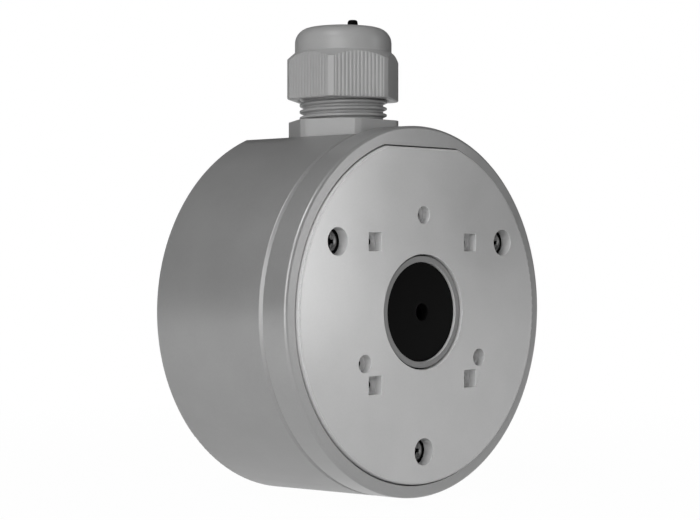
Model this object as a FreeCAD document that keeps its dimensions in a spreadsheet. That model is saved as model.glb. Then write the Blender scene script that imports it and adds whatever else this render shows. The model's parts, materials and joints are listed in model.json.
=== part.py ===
import FreeCAD, Part
import math
import os

import Sketcher

# Round camera junction box, in millimetres.
# The wall plane is y = 0 and the front face looks along -Y, so a depth d means y = -d.
# +Z is up, towards the cable gland, and the origin is the centre of the back face.

Vector = FreeCAD.Vector

SIZES = [
    # The shell and its back wall
    ("box_depth", 55.4, "wall plane to the face of the mounting plate"),
    ("shell_radius", 55.2, "outer radius of the rear housing at the seam"),
    ("wall_flare", 1.2, "the housing is wider by this at the wall"),
    ("shell_wall", 3.0, "side wall thickness at the seam"),
    ("core_draft", 0.4, "degrees of draft inside the housing"),
    ("back_edge_round", 0.6, "rounding of the outer edge at the wall"),
    ("back_wall", 3.6, "back wall thickness"),
    ("back_relief", 1.2, "depth of the relief in the back face"),
    ("back_rim", 6.0, "width of the land around the relief"),
    ("centre_pad_radius", 7.0, "solid pad at the centre of the back face"),
    ("seam_bevel", 1.1, "bevel on the front edge of the housing"),
    ("flat_drop", 2.9, "the flat that seats the gland, below the seam's top"),
    ("flat_wall", 3.5, "wall thickness under that flat"),
    # Wall fixing holes and the cable entry in the back wall
    ("fixing_circle", 34.0, "radius of the circle of wall fixing holes"),
    ("fixing_radius", 2.75, "radius of a wall fixing hole"),
    ("fixing_pad_radius", 6.5, "pad around a fixing hole"),
    ("fixing_pad_rise", 1.4, "height of that pad inside the box"),
    ("entry_drop", 17.6, "wall cable entry below the centre"),
    ("entry_radius", 7.0, "radius of the wall cable entry"),
    ("grommet_radius", 9.0, "flange radius of the wall grommet"),
    ("grommet_flange", 1.0, "outer flange thickness of the wall grommet"),
    ("grommet_lip", 1.4, "inner lip thickness of the wall grommet"),
    ("grommet_hole_radius", 4.0, "cable hole in the wall grommet"),
    # Posts that carry the front ring, and the earth terminal
    ("post_inset", 10.2, "centre of a post inside the side wall"),
    ("post_radius", 4.5, "radius of a post"),
    ("post_rib", 5.0, "width of the rib from a post to the wall"),
    ("tapped_depth", 8.0, "depth of a tapped hole"),
    ("post_bearing", 45.0, "bearing of the first post, degrees"),
    ("earth_inset", 9.2, "centre of the earth terminal inside the side wall"),
    ("earth_bearing", 242.0, "bearing of the earth terminal, degrees"),
    ("earth_boss_radius", 4.2, "radius of the earth boss"),
    ("earth_boss_rise", 6.0, "height of the earth boss"),
    ("earth_screw_length", 6.0, "shank length of the earth screw"),
    ("washer_thickness", 0.9, "thickness of the earth washer"),
    # The front ring
    ("ring_depth", 9.2, "depth of the front ring"),
    ("ring_step", 0.2, "the ring is narrower at its front by this"),
    ("rim_width", 3.7, "width of the rim around the plate"),
    ("rim_fall", 0.25, "how far the rim falls back to its edge"),
    ("ring_edge_round", 1.0, "rounding of the ring's front edge"),
    ("crescent_height", 6.1, "ring's top to the straight edge of the opening"),
    ("corner_round", 1.4, "rounding where that edge meets the arc"),
    ("ledge_width", 4.1, "width of the ledge that carries the plate"),
    ("ring_lug_thickness", 2.4, "thickness of a lug under a ring screw"),
    ("ring_lug_radius", 5.0, "radius of that lug"),
    ("ring_lug_web", 7.0, "width of the web from that lug to the ledge"),
    ("overlap", 1.0, "how far joined or cutting shapes run into each other"),
    ("ring_gasket_thickness", 0.5, "gasket between ring and housing"),
    ("gasket_inset", 0.2, "gasket edges stand back by this"),
    # The mounting plate
    ("plate_gap", 0.4, "gap around the plate"),
    ("plate_proud", 1.0, "plate face in front of the ring"),
    ("plate_thickness", 4.0, "thickness of the plate"),
    ("plate_edge_round", 0.6, "rounding of the plate's front edge"),
    ("plate_gasket_thickness", 0.8, "gasket between plate and ledge"),
    ("screw_inset", 10.0, "centre of a plate screw inside the opening"),
    ("screw_bearing", 30.0, "bearing of the first plate screw, degrees"),
    ("cup_depth", 9.2, "plate face to the back of a screw cup"),
    ("cup_floor", 2.0, "thickness of the floor of a screw cup"),
    ("cup_wall", 1.2, "wall of a screw cup"),
    ("lug_web", 8.3, "width of the web from a tapped lug to the wall"),
    ("counterbore_radius", 4.0, "radius of a screw counterbore"),
    ("lug_length", 7.4, "length of a tapped lug behind a cup"),
    ("camera_circle", 28.65, "radius of the circle of camera holes"),
    ("pocket_depth", 2.6, "depth of a camera hole's pocket"),
    ("round_pocket_radius", 2.6, "radius of a round pocket"),
    ("square_pocket", 5.3, "side of a square pocket"),
    ("square_spacing", 41.3, "spacing of the square pockets"),
    ("camera_hole_radius", 1.25, "radius of a camera screw hole"),
    ("camera_hole_bevel", 0.7, "bevel at the mouth of that hole"),
    ("pocket_wall", 1.6, "wall of the boss behind a pocket"),
    ("boss_depth", 6.4, "plate face to the back of the bosses"),
    # Screws
    ("screw_radius", 2.0, "radius of a screw's thread"),
    ("thread_play", 0.05, "a tapped hole is wider than its screw by this"),
    ("clearance_hole", 2.25, "radius of a clearance hole for a screw"),
    ("head_radius", 3.2, "radius of a screw head"),
    ("head_height", 2.9, "height of a screw head"),
    ("head_round", 0.7, "rounding of a screw head"),
    ("cross_span", 3.9, "span of the cross recess"),
    ("cross_width", 0.9, "width of the cross recess"),
    ("cross_depth", 1.5, "depth of the cross recess"),
    ("screw_seal_floor", 0.9, "rubber cup under a plate screw's head"),
    ("screw_seal_gap", 0.05, "that cup to the counterbore wall and to the head"),
    ("screw_seal_drop", 0.2, "rim of that cup below the head's face"),
    ("plate_screw_length", 9.0, "shank length of a plate screw"),
    ("screw_tip", 0.8, "bevel at a screw's tip"),
    ("cross_taper", 8.0, "taper of the cross recess, degrees"),
    ("ring_screw_length", 8.0, "shank length of a ring screw"),
    # The bush and plug at the centre of the plate
    ("bush_radius", 16.7, "outer radius of the bush"),
    ("bush_face", 1.9, "width of the bush's face with its bevel"),
    ("bush_bevel", 0.2, "bevels of the bush's face"),
    ("bush_recess", 0.7, "bush face below the plate face"),
    ("bush_flange", 1.3, "thickness of the bush's flange"),
    ("bush_barrel", 0.9, "wall of the bush's barrel"),
    ("bush_length", 6.3, "length of the bush"),
    ("bush_fit", 0.05, "bush barrel to plate, all round"),
    ("bush_gap", 0.4, "gap around the bush's flange"),
    ("bush_boss_wall", 3.0, "boss of the plate around the bush"),
    ("plug_recess", 0.8, "edge of the plug below the bush face"),
    ("plug_crown", 0.7, "rise of the plug's face to its hole"),
    ("plug_gap", 0.1, "plug to bush, all round"),
    ("plug_web", 2.3, "thickness of the plug's web"),
    ("plug_rim", 2.4, "width of the plug's rim"),
    ("plug_lip", 1.5, "thickness of the lip behind the bush"),
    ("plug_hole_radius", 2.5, "camera cable hole in the plug"),
    # The cable gland
    ("lock_nut_clear", 2.0, "gland's lock nut to the back wall"),
    ("gland_hex", 31.0, "width across flats of the gland base"),
    ("gland_hex_corner", 17.25, "radius that trims its corners"),
    ("gland_hex_height", 5.7, "height of the gland base"),
    ("entry_thread_radius", 12.4, "radius of the gland's lower thread"),
    ("entry_thread_length", 9.3, "length of that thread"),
    ("entry_play", 0.2, "housing hole around that thread"),
    ("base_seal_width", 2.3, "width of the seal ring in the base"),
    ("base_seal_height", 1.2, "height of that seal ring"),
    ("gland_bore", 9.6, "radius of the gland's bore"),
    ("cap_thread_radius", 13.45, "crest radius of the upper thread"),
    ("cap_thread_root", 12.3, "root radius of the upper thread"),
    ("cap_thread_pitch", 2.0, "pitch of the upper thread"),
    ("cap_thread_length", 16.0, "length of the upper thread"),
    ("cap_thread_crest", 0.55, "width of a thread crest"),
    ("cap_thread_valley", 0.29, "width of the root between two crests"),
    ("lock_nut_hex", 32.0, "width across flats of the lock nut"),
    ("lock_nut_height", 5.0, "height of the lock nut"),
    ("lock_nut_play", 0.6, "room around the lock nut on its seat"),
    # The clamping claw and its rubber seal
    ("claw_radius", 11.2, "outer radius of the claw's foot"),
    ("claw_seat_play", 0.1, "claw foot to its seat"),
    ("claw_foot", 2.7, "height of the claw's foot"),
    ("claw_seat_depth", 3.0, "depth of the seat in the gland body"),
    ("claw_height", 10.5, "height of the claw"),
    ("claw_tip_radius", 10.3, "outer radius at the finger tips"),
    ("claw_slot", 1.6, "width of the slot between two fingers"),
    ("finger_count", 10.0, "number of fingers"),
    ("seal_radius", 8.8, "radius of the rubber seal"),
    ("seal_play", 0.3, "rubber seal to the claw and the nut's mouth"),
    ("seal_drop", 0.8, "seal reaches below the claw by this"),
    ("seal_recess", 0.8, "seal face below the top of the nut"),
    ("pin_radius", 1.6, "radius of the blanking pin"),
    ("pin_fit", 0.05, "pin to its hole"),
    ("pin_offset", 2.9, "pin off the gland's axis"),
    ("pin_bearing", -45.0, "bearing of that offset, degrees"),
    ("pin_rise", 2.15, "pin above the top of the nut"),
    ("pin_round", 1.1, "rounding of the pin's tip"),
    ("pin_head_radius", 2.6, "radius of the pin's head"),
    ("pin_head_height", 2.6, "height of the pin's head"),
    # The cap nut
    ("nut_lift", 6.3, "gland base to the underside of the nut"),
    ("nut_hex", 31.6, "width across flats of the nut"),
    ("nut_bearing", 32.7, "bearing of a corner of the nut, degrees"),
    ("nut_corner_flat", 1.9, "width of the trimmed corner"),
    ("nut_height", 22.85, "height of the nut"),
    ("nut_hex_height", 12.3, "height of the nut's corners"),
    ("nut_cone_slope", 41.0, "slope of the cone above the corners, degrees"),
    ("nut_underside_bevel", 0.4, "bevel around the underside"),
    ("dome_radius", 14.9, "radius of the dome"),
    ("dome_round", 4.7, "rounding of the dome's shoulder"),
    ("dome_crown", 0.7, "rise of the dome's top"),
    ("mouth_radius", 9.1, "radius of the nut's mouth"),
    ("nut_thread_play", 0.3, "nut bore around the upper thread"),
    ("nut_bore_height", 11.2, "height of the nut's bore"),
    ("nut_cone_radius", 12.0, "radius at the foot of the inner cone"),
    ("nut_cone_top", 10.6, "radius at the top of the inner cone"),
    ("nut_cone_height", 17.7, "top of the inner cone above the underside"),
    ("rib_count", 13.0, "ribs on each flat of the nut"),
    ("rib_depth", 0.25, "depth of a rib"),
    ("rib_crest", 0.4, "share of a rib's width that its crest takes"),
]

doc = FreeCAD.newDocument("camera_junction_box")
sheet = doc.addObject("Spreadsheet::Sheet", "sizes")
for row, (alias, number, meaning) in enumerate(SIZES, start=1):
    sheet.set("A%d" % row, alias)
    sheet.set("B%d" % row, str(number))
    sheet.set("C%d" % row, meaning)
    sheet.setAlias("B%d" % row, alias)
doc.recompute()


class Size:
    """A number together with the sheet expression that gives it."""

    def __init__(self, value, text):
        self.value = value
        self.text = text

    def __add__(self, other):
        other = as_size(other)
        return Size(self.value + other.value, "(%s + %s)" % (self.text, other.text))

    def __sub__(self, other):
        other = as_size(other)
        return Size(self.value - other.value, "(%s - %s)" % (self.text, other.text))

    def __mul__(self, other):
        other = as_size(other)
        return Size(self.value * other.value, "(%s * %s)" % (self.text, other.text))

    def __truediv__(self, other):
        other = as_size(other)
        return Size(self.value / other.value, "(%s / %s)" % (self.text, other.text))

    def __neg__(self):
        return Size(-self.value, "(0 - %s)" % self.text)


def as_size(number):
    """A plain number as a Size, so that both can be used in a sum."""
    if isinstance(number, Size):
        return number
    return Size(float(number), repr(float(number)))


def cosine(angle):
    return Size(math.cos(math.radians(angle.value)), "cos(%s)" % angle.text)


def sine(angle):
    return Size(math.sin(math.radians(angle.value)), "sin(%s)" % angle.text)


class Sheet:
    """Every size of the sheet as an attribute."""


size = Sheet()
for alias, number, meaning in SIZES:
    setattr(size, alias, Size(float(sheet.get(alias)), "sizes." + alias))

ZERO = as_size(0)
HALF_STEP = as_size(30)  # half the angle between two corners of a hexagon
STEP = HALF_STEP * 2

# Depths in front of the wall plane
face = size.box_depth
ring_face = face - size.plate_proud
plate_back = face - size.plate_thickness
ledge = plate_back - size.plate_gasket_thickness
ring_back = ring_face - size.ring_depth
land = ring_back - size.ring_gasket_thickness
cup_back = face - size.cup_depth
cup_seat = cup_back + size.cup_floor
boss_back = face - size.boss_depth
tap_radius = size.screw_radius + size.thread_play

# Radii and heights that several pieces share
wall_radius = size.shell_radius + size.wall_flare
ring_radius = size.shell_radius - size.ring_step
opening_radius = ring_radius - size.rim_width
opening_chord = ring_radius - size.crescent_height
ledge_radius = opening_radius - size.ledge_width
ledge_chord = opening_chord - size.ledge_width
plate_radius = opening_radius - size.plate_gap
plate_chord = opening_chord - size.plate_gap
cavity_radius = size.shell_radius - size.shell_wall
flat_height = size.shell_radius - size.flat_drop
cavity_top = flat_height - size.flat_wall
post_circle = cavity_radius - size.post_inset
earth_circle = cavity_radius - size.earth_inset
screw_circle = opening_radius - size.screw_inset
bush_front = face - size.bush_recess
bush_seat = bush_front - size.bush_flange
bush_inner = size.bush_radius - size.bush_face
bush_barrel = bush_inner + size.bush_barrel
land_radius = size.shell_radius - size.seam_bevel

# The gland's axis, and heights along it
gland_setback = size.back_wall + size.lock_nut_hex / 2 + size.lock_nut_clear
base_top = flat_height + size.gland_hex_height
thread_top = base_top + size.cap_thread_length
nut_bottom = base_top + size.nut_lift
nut_top = nut_bottom + size.nut_height
claw_seat = thread_top - size.claw_seat_depth


def new_body(label):
    """A named sub-part."""
    body = doc.addObject("PartDesign::Body", label)
    body.Label = label
    return body


def origin_part(body, role):
    """The origin plane or axis of a body with the given role."""
    return [part for part in body.Origin.OriginFeatures if part.Role == role][0]


def new_sketch(body, name, plane, offset=None):
    """An empty sketch on one of the body's own origin planes, moved out by offset."""
    sketch = body.newObject("Sketcher::SketchObject", name)
    sketch.AttachmentSupport = [(origin_part(body, plane), "")]
    sketch.MapMode = "FlatFace"
    if offset is not None:
        sketch.setExpression("AttachmentOffset.Base.z", offset.text)
    return sketch


def hold_point(sketch, edge, end, across, up):
    """Ties one point of the sketch to two sizes measured from the sketch's origin."""
    for kind, distance, axis in (("DistanceX", across, -2), ("DistanceY", up, -1)):
        if distance.text == ZERO.text:
            sketch.addConstraint(Sketcher.Constraint("PointOnObject", edge, end, axis))
            continue
        index = sketch.addConstraint(
            Sketcher.Constraint(kind, -1, 1, edge, end, distance.value))
        sketch.setExpression("Constraints[%d]" % index, distance.text)


def add_outline(sketch, corners):
    """A closed outline of straight lines through corners given as pairs of sizes."""
    first = sketch.GeometryCount
    count = len(corners)
    points = [Vector(across.value, up.value, 0) for across, up in corners]
    for i in range(count):
        sketch.addGeometry(Part.LineSegment(points[i], points[(i + 1) % count]))
    for i in range(count):
        after = first + (i + 1) % count
        sketch.addConstraint(Sketcher.Constraint("Coincident", first + i, 2, after, 1))
    for i, (across, up) in enumerate(corners):
        hold_point(sketch, first + i, 1, across, up)
    return sketch


def add_circle(sketch, radius, across=ZERO, up=ZERO):
    """A circle with its radius and centre tied to sizes."""
    centre = Vector(across.value, up.value, 0)
    edge = sketch.addGeometry(Part.Circle(centre, Vector(0, 0, 1), radius.value))
    index = sketch.addConstraint(Sketcher.Constraint("Radius", edge, radius.value))
    sketch.setExpression("Constraints[%d]" % index, radius.text)
    hold_point(sketch, edge, 3, across, up)
    return sketch


def add_cut_circle(sketch, radius, chord):
    """A circle about the origin whose top is cut off by a level chord."""
    half = math.asin(chord.value / radius.value)
    circle = Part.Circle(Vector(0, 0, 0), Vector(0, 0, 1), radius.value)
    arc = sketch.addGeometry(Part.ArcOfCircle(circle, math.pi - half, 2 * math.pi + half))
    left = Vector(-radius.value * math.cos(half), chord.value, 0)
    right = Vector(radius.value * math.cos(half), chord.value, 0)
    line = sketch.addGeometry(Part.LineSegment(right, left))
    sketch.addConstraint(Sketcher.Constraint("Coincident", arc, 3, -1, 1))
    sketch.addConstraint(Sketcher.Constraint("Coincident", arc, 2, line, 1))
    sketch.addConstraint(Sketcher.Constraint("Coincident", line, 2, arc, 1))
    sketch.addConstraint(Sketcher.Constraint("Horizontal", line))
    index = sketch.addConstraint(Sketcher.Constraint("Radius", arc, radius.value))
    sketch.setExpression("Constraints[%d]" % index, radius.text)
    index = sketch.addConstraint(
        Sketcher.Constraint("DistanceY", -1, 1, line, 1, chord.value))
    sketch.setExpression("Constraints[%d]" % index, chord.text)
    return sketch


def hexagon_corners(width, bearing):
    """Corners of a hexagon from its width across flats and one corner's bearing."""
    reach = width / (cosine(HALF_STEP) * 2)
    angles = [STEP * i + bearing for i in range(6)]
    return [(reach * cosine(angle), reach * sine(angle)) for angle in angles]


def rectangle_corners(left, right, bottom, top):
    return [(left, bottom), (right, bottom), (right, top), (left, top)]


def radial_strip(bearing, start, end, width):
    """Corners of a strip of a width that runs outwards along a bearing."""
    across = width / 2 * sine(bearing)
    up = width / 2 * cosine(bearing)
    near_x = start * cosine(bearing)
    near_z = start * sine(bearing)
    far_x = end * cosine(bearing)
    far_z = end * sine(bearing)
    return [(near_x + across, near_z - up), (far_x + across, far_z - up),
            (far_x - across, far_z + up), (near_x - across, near_z + up)]


def revolve(body, name, corners, plane="XY_Plane"):
    """Turns an outline of (radius, height) corners about the sketch's upright axis."""
    sketch = add_outline(new_sketch(body, name + "_profile", plane), corners)
    feature = body.newObject("PartDesign::Revolution", name)
    feature.Profile = sketch
    feature.ReferenceAxis = (sketch, ["V_Axis"])
    feature.Angle = 360
    doc.recompute()
    return feature


def groove(body, name, corners, plane="XY_Plane"):
    """Cuts a turned outline out of the body."""
    sketch = add_outline(new_sketch(body, name + "_profile", plane), corners)
    feature = body.newObject("PartDesign::Groove", name)
    feature.Profile = sketch
    feature.ReferenceAxis = (sketch, ["V_Axis"])
    feature.Angle = 360
    recompute_cut(body, feature)
    return feature


def pad(body, name, sketch, length, backwards=False):
    """Adds the sketch's area over a length along its normal."""
    feature = body.newObject("PartDesign::Pad", name)
    feature.Profile = sketch
    feature.setExpression("Length", length.text)
    feature.Reversed = backwards
    doc.recompute()
    return feature


def recompute_cut(body, feature):
    """Recomputes a cut and makes sure that it took material away."""
    doc.recompute()
    before = feature.BaseFeature.Shape.Volume
    if not feature.Shape.Volume < before:
        raise RuntimeError("%s in %s cuts nothing" % (feature.Name, body.Label))


def pocket(body, name, sketch, length=None, forwards=False, draft=None):
    """Cuts the sketch's area against its normal, or along it when forwards is set."""
    feature = body.newObject("PartDesign::Pocket", name)
    feature.Profile = sketch
    if length is None:
        feature.Type = "ThroughAll"
        feature.SideType = "Symmetric"
    else:
        feature.setExpression("Length", length.text)
        feature.Reversed = forwards
    if draft is not None:
        feature.setExpression("TaperAngle", "-" + draft.text)
    recompute_cut(body, feature)
    return feature


def pattern(body, name, features, count, axis="Y_Axis"):
    """Repeats features evenly around one of the body's axes."""
    feature = body.newObject("PartDesign::PolarPattern", name)
    feature.Originals = features
    feature.Axis = (origin_part(body, axis), [""])
    feature.Angle = 360
    if isinstance(count, Size):
        feature.setExpression("Occurrences", count.text)
    else:
        feature.Occurrences = count
    body.Tip = feature
    doc.recompute()
    return feature


def chosen_edges(feature, chosen):
    """Names of the feature's edges for which chosen(edge) is true."""
    return ["Edge%d" % (i + 1) for i, edge in enumerate(feature.Shape.Edges) if chosen(edge)]


def round_edges(body, name, radius, chosen):
    """Rounds the chosen edges of the body's last feature."""
    base = body.Tip
    feature = body.newObject("PartDesign::Fillet", name)
    feature.Base = (base, chosen_edges(base, chosen))
    feature.setExpression("Radius", radius.text)
    doc.recompute()
    return feature


def bevel_edges(body, name, width, chosen):
    """Bevels the chosen edges of the body's last feature."""
    base = body.Tip
    feature = body.newObject("PartDesign::Chamfer", name)
    feature.Base = (base, chosen_edges(base, chosen))
    feature.setExpression("Size", width.text)
    doc.recompute()
    return feature


def is_circle(edge, radius, depth=None):
    """True for an edge that is an arc of this radius, lying at this depth."""
    curve = edge.Curve
    if not isinstance(curve, Part.Circle) or abs(curve.Radius - radius.value) > 0.01:
        return False
    return depth is None or abs(edge.CenterOfMass.y + depth.value) < 0.01


def is_upright_corner(edge, radius, chord):
    """True for the two edges along the depth where a chord meets its arc."""
    start = edge.Vertexes[0].Point
    end = edge.Vertexes[-1].Point
    across = math.sqrt(radius.value ** 2 - chord.value ** 2)
    if math.hypot(start.x - end.x, start.z - end.z) > 0.01:
        return False
    return abs(abs(start.x) - across) < 0.01 and abs(start.z - chord.value) < 0.01


def earth_place():
    """Place of the earth terminal on the back wall, across and up."""
    return (earth_circle * cosine(size.earth_bearing),
            earth_circle * sine(size.earth_bearing))


def make_rear_housing():
    """Cast shell: drafted wall, flat for the gland, back wall, posts and earth boss."""
    body = new_body("rear_housing")
    side = (wall_radius - size.shell_radius) / land
    bevel_depth = land - size.seam_bevel
    revolve(body, "shell", [
        (ZERO, ZERO),
        (wall_radius, ZERO),
        (wall_radius - side * bevel_depth, -bevel_depth),
        (land_radius, -land),
        (ZERO, -land),
    ])
    round_edges(body, "back_edge", size.back_edge_round,
                lambda edge: is_circle(edge, wall_radius))
    flat = new_sketch(body, "gland_flat_area", "XZ_Plane")
    add_outline(flat, rectangle_corners(-wall_radius, wall_radius,
                                        flat_height, wall_radius + size.overlap))
    pocket(body, "gland_flat", flat)
    cavity = new_sketch(body, "cavity_area", "XZ_Plane", land)
    add_cut_circle(cavity, cavity_radius, cavity_top)
    pocket(body, "cavity", cavity, land - size.back_wall, draft=size.core_draft)

    post = new_sketch(body, "post_area", "XZ_Plane", size.back_wall)
    lean = size.post_bearing
    post_x = post_circle * cosine(lean)
    post_z = post_circle * sine(lean)
    add_circle(post, size.post_radius, post_x, post_z)
    post_pad = pad(body, "post", post, ring_back - size.back_wall)
    rib = new_sketch(body, "post_rib_area", "XZ_Plane", size.back_wall)
    add_outline(rib, radial_strip(lean, post_circle, cavity_radius + size.overlap,
                                  size.post_rib))
    rib_pad = pad(body, "post_rib", rib, land - size.seam_bevel - size.back_wall)
    pattern(body, "posts", [post_pad, rib_pad], 4)
    tap = new_sketch(body, "post_tap_area", "XZ_Plane", ring_back)
    add_circle(tap, tap_radius, post_x, post_z)
    pattern(body, "post_taps", [pocket(body, "post_tap", tap, size.tapped_depth)], 4)

    fixing_pad = new_sketch(body, "fixing_pad_area", "XZ_Plane", size.back_wall)
    add_circle(fixing_pad, size.fixing_pad_radius, size.fixing_circle)
    pattern(body, "fixing_pads",
            [pad(body, "fixing_pad", fixing_pad, size.fixing_pad_rise)], 4)
    earth_x, earth_z = earth_place()
    boss = new_sketch(body, "earth_boss_area", "XZ_Plane", size.back_wall)
    add_circle(boss, size.earth_boss_radius, earth_x, earth_z)
    pad(body, "earth_boss", boss, size.earth_boss_rise)
    earth_tap = new_sketch(body, "earth_tap_area", "XZ_Plane",
                           size.back_wall + size.earth_boss_rise)
    add_circle(earth_tap, tap_radius, earth_x, earth_z)
    pocket(body, "earth_tap", earth_tap, size.earth_screw_length)

    relief = new_sketch(body, "relief_area", "XZ_Plane")
    add_circle(relief, wall_radius - size.back_rim)
    add_circle(relief, size.centre_pad_radius)
    for across, up in ((1, 0), (0, 1), (-1, 0), (0, -1)):
        add_circle(relief, size.fixing_pad_radius,
                   size.fixing_circle * across if across else ZERO,
                   size.fixing_circle * up if up else ZERO)
    pocket(body, "relief", relief, size.back_relief, forwards=True)
    fixing = new_sketch(body, "fixing_area", "XZ_Plane")
    add_circle(fixing, size.fixing_radius, size.fixing_circle)
    pattern(body, "fixings", [pocket(body, "fixing", fixing)], 4)
    entry = new_sketch(body, "entry_area", "XZ_Plane")
    add_circle(entry, size.entry_radius, ZERO, -size.entry_drop)
    pocket(body, "entry", entry, size.back_wall + size.overlap, forwards=True)
    gland_hole = new_sketch(body, "gland_hole_area", "XY_Plane", flat_height)
    add_circle(gland_hole, size.entry_thread_radius + size.entry_play,
               ZERO, -gland_setback)
    pocket(body, "gland_hole", gland_hole, size.flat_wall + size.overlap)
    nut_seat = new_sketch(body, "nut_seat_area", "XY_Plane", cavity_top)
    reach = size.lock_nut_hex / (cosine(HALF_STEP) * 2) + size.lock_nut_play
    half = size.lock_nut_hex / 2 + size.lock_nut_play
    add_outline(nut_seat, rectangle_corners(
        -reach, reach, -gland_setback - half, -gland_setback + half))
    pocket(body, "nut_seat", nut_seat, size.lock_nut_play)
    return body


def make_wall_grommet():
    """Rubber grommet in the wall cable entry: flange, neck and inner lip."""
    body = new_body("wall_grommet")
    body.setExpression("Placement.Base.z", "0 - " + size.entry_drop.text)
    neck = size.entry_radius - size.bush_fit
    outside = size.back_relief - size.grommet_flange
    inside = size.back_wall + size.grommet_lip
    revolve(body, "grommet", [
        (size.grommet_hole_radius, -outside),
        (size.grommet_radius, -outside),
        (size.grommet_radius, -size.back_relief),
        (neck, -size.back_relief),
        (neck, -size.back_wall),
        (size.grommet_radius, -size.back_wall),
        (size.grommet_radius - size.grommet_lip / 2, -inside),
        (size.grommet_hole_radius, -inside),
    ])
    return body


def make_ring_gasket():
    """Flat gasket between the housing's land and the back of the ring."""
    body = new_body("ring_gasket")
    sketch = new_sketch(body, "gasket_area", "XZ_Plane", land)
    add_cut_circle(sketch, land_radius - size.gasket_inset,
                   flat_height - size.seam_bevel)
    add_cut_circle(sketch, cavity_radius + size.gasket_inset,
                   cavity_top + size.gasket_inset)
    pad(body, "gasket", sketch, size.ring_gasket_thickness)
    return body


def make_front_ring():
    """Cast ring with the crescent above the plate, its ledge, lugs and screw seats."""
    body = new_body("front_ring")
    edge_depth = ring_face - size.rim_fall
    revolve(body, "disc", [
        (ZERO, -ring_back),
        (size.shell_radius, -ring_back),
        (ring_radius, -edge_depth),
        (opening_chord, -ring_face),
        (ZERO, -ring_face),
    ])
    round_edges(body, "front_edge", size.ring_edge_round,
                lambda edge: is_circle(edge, ring_radius))
    opening = new_sketch(body, "opening_area", "XZ_Plane", ring_face)
    add_cut_circle(opening, opening_radius, opening_chord)
    pocket(body, "opening", opening, ring_face - ledge)
    round_edges(body, "opening_corners", size.corner_round,
                lambda edge: is_upright_corner(edge, opening_radius, opening_chord))
    through = new_sketch(body, "through_area", "XZ_Plane", ledge)
    add_cut_circle(through, ledge_radius, ledge_chord)
    pocket(body, "through", through, ledge - ring_back)

    lug_x = screw_circle * cosine(size.screw_bearing)
    lug_z = screw_circle * sine(size.screw_bearing)
    lug_end = cup_back - size.lug_length
    cup_radius = size.counterbore_radius + size.cup_wall
    lug = new_sketch(body, "lug_area", "XZ_Plane", lug_end)
    add_circle(lug, cup_radius, lug_x, lug_z)
    lug_pad = pad(body, "lug", lug, size.lug_length)
    web = new_sketch(body, "lug_web_area", "XZ_Plane", lug_end)
    add_outline(web, radial_strip(size.screw_bearing, screw_circle,
                                  cavity_radius - size.overlap, size.lug_web))
    web_pad = pad(body, "lug_web", web, size.lug_length)
    pattern(body, "lugs", [lug_pad, web_pad], 3)
    lug_tap = new_sketch(body, "lug_tap_area", "XZ_Plane", cup_back)
    add_circle(lug_tap, tap_radius, lug_x, lug_z)
    pattern(body, "lug_taps",
            [pocket(body, "lug_tap", lug_tap, size.plate_screw_length - size.cup_floor)], 3)

    ear_x = post_circle * cosine(size.post_bearing)
    ear_z = post_circle * sine(size.post_bearing)
    ear = new_sketch(body, "ear_area", "XZ_Plane", ring_back)
    add_circle(ear, size.ring_lug_radius, ear_x, ear_z)
    ear_pad = pad(body, "ear", ear, size.ring_lug_thickness)
    ear_web = new_sketch(body, "ear_web_area", "XZ_Plane", ring_back)
    add_outline(ear_web, radial_strip(size.post_bearing, post_circle,
                                      ledge_radius + size.overlap, size.ring_lug_web))
    ear_web_pad = pad(body, "ear_web", ear_web, size.ring_lug_thickness)
    pattern(body, "ears", [ear_pad, ear_web_pad], 4)
    ear_hole = new_sketch(body, "ear_hole_area", "XZ_Plane",
                          ring_back + size.ring_lug_thickness)
    add_circle(ear_hole, size.clearance_hole, ear_x, ear_z)
    pattern(body, "ear_holes",
            [pocket(body, "ear_hole", ear_hole, size.ring_lug_thickness)], 4)
    return body


def make_plate_gasket():
    """Flat gasket on the ring's ledge, behind the edge of the plate."""
    body = new_body("plate_gasket")
    sketch = new_sketch(body, "gasket_area", "XZ_Plane", ledge)
    add_cut_circle(sketch, plate_radius - size.gasket_inset, plate_chord - size.gasket_inset)
    add_cut_circle(sketch, ledge_radius + size.gasket_inset, ledge_chord + size.gasket_inset)
    pad(body, "gasket", sketch, size.plate_gasket_thickness)
    return body


def camera_hole(body, name, across, up, floor_depth):
    """Screw hole with a bevelled mouth in the floor of a pocket of the plate."""
    hole = new_sketch(body, name + "_area", "XZ_Plane", floor_depth)
    add_circle(hole, size.camera_hole_radius, across, up)
    return pocket(body, name, hole, floor_depth - boss_back)


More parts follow.
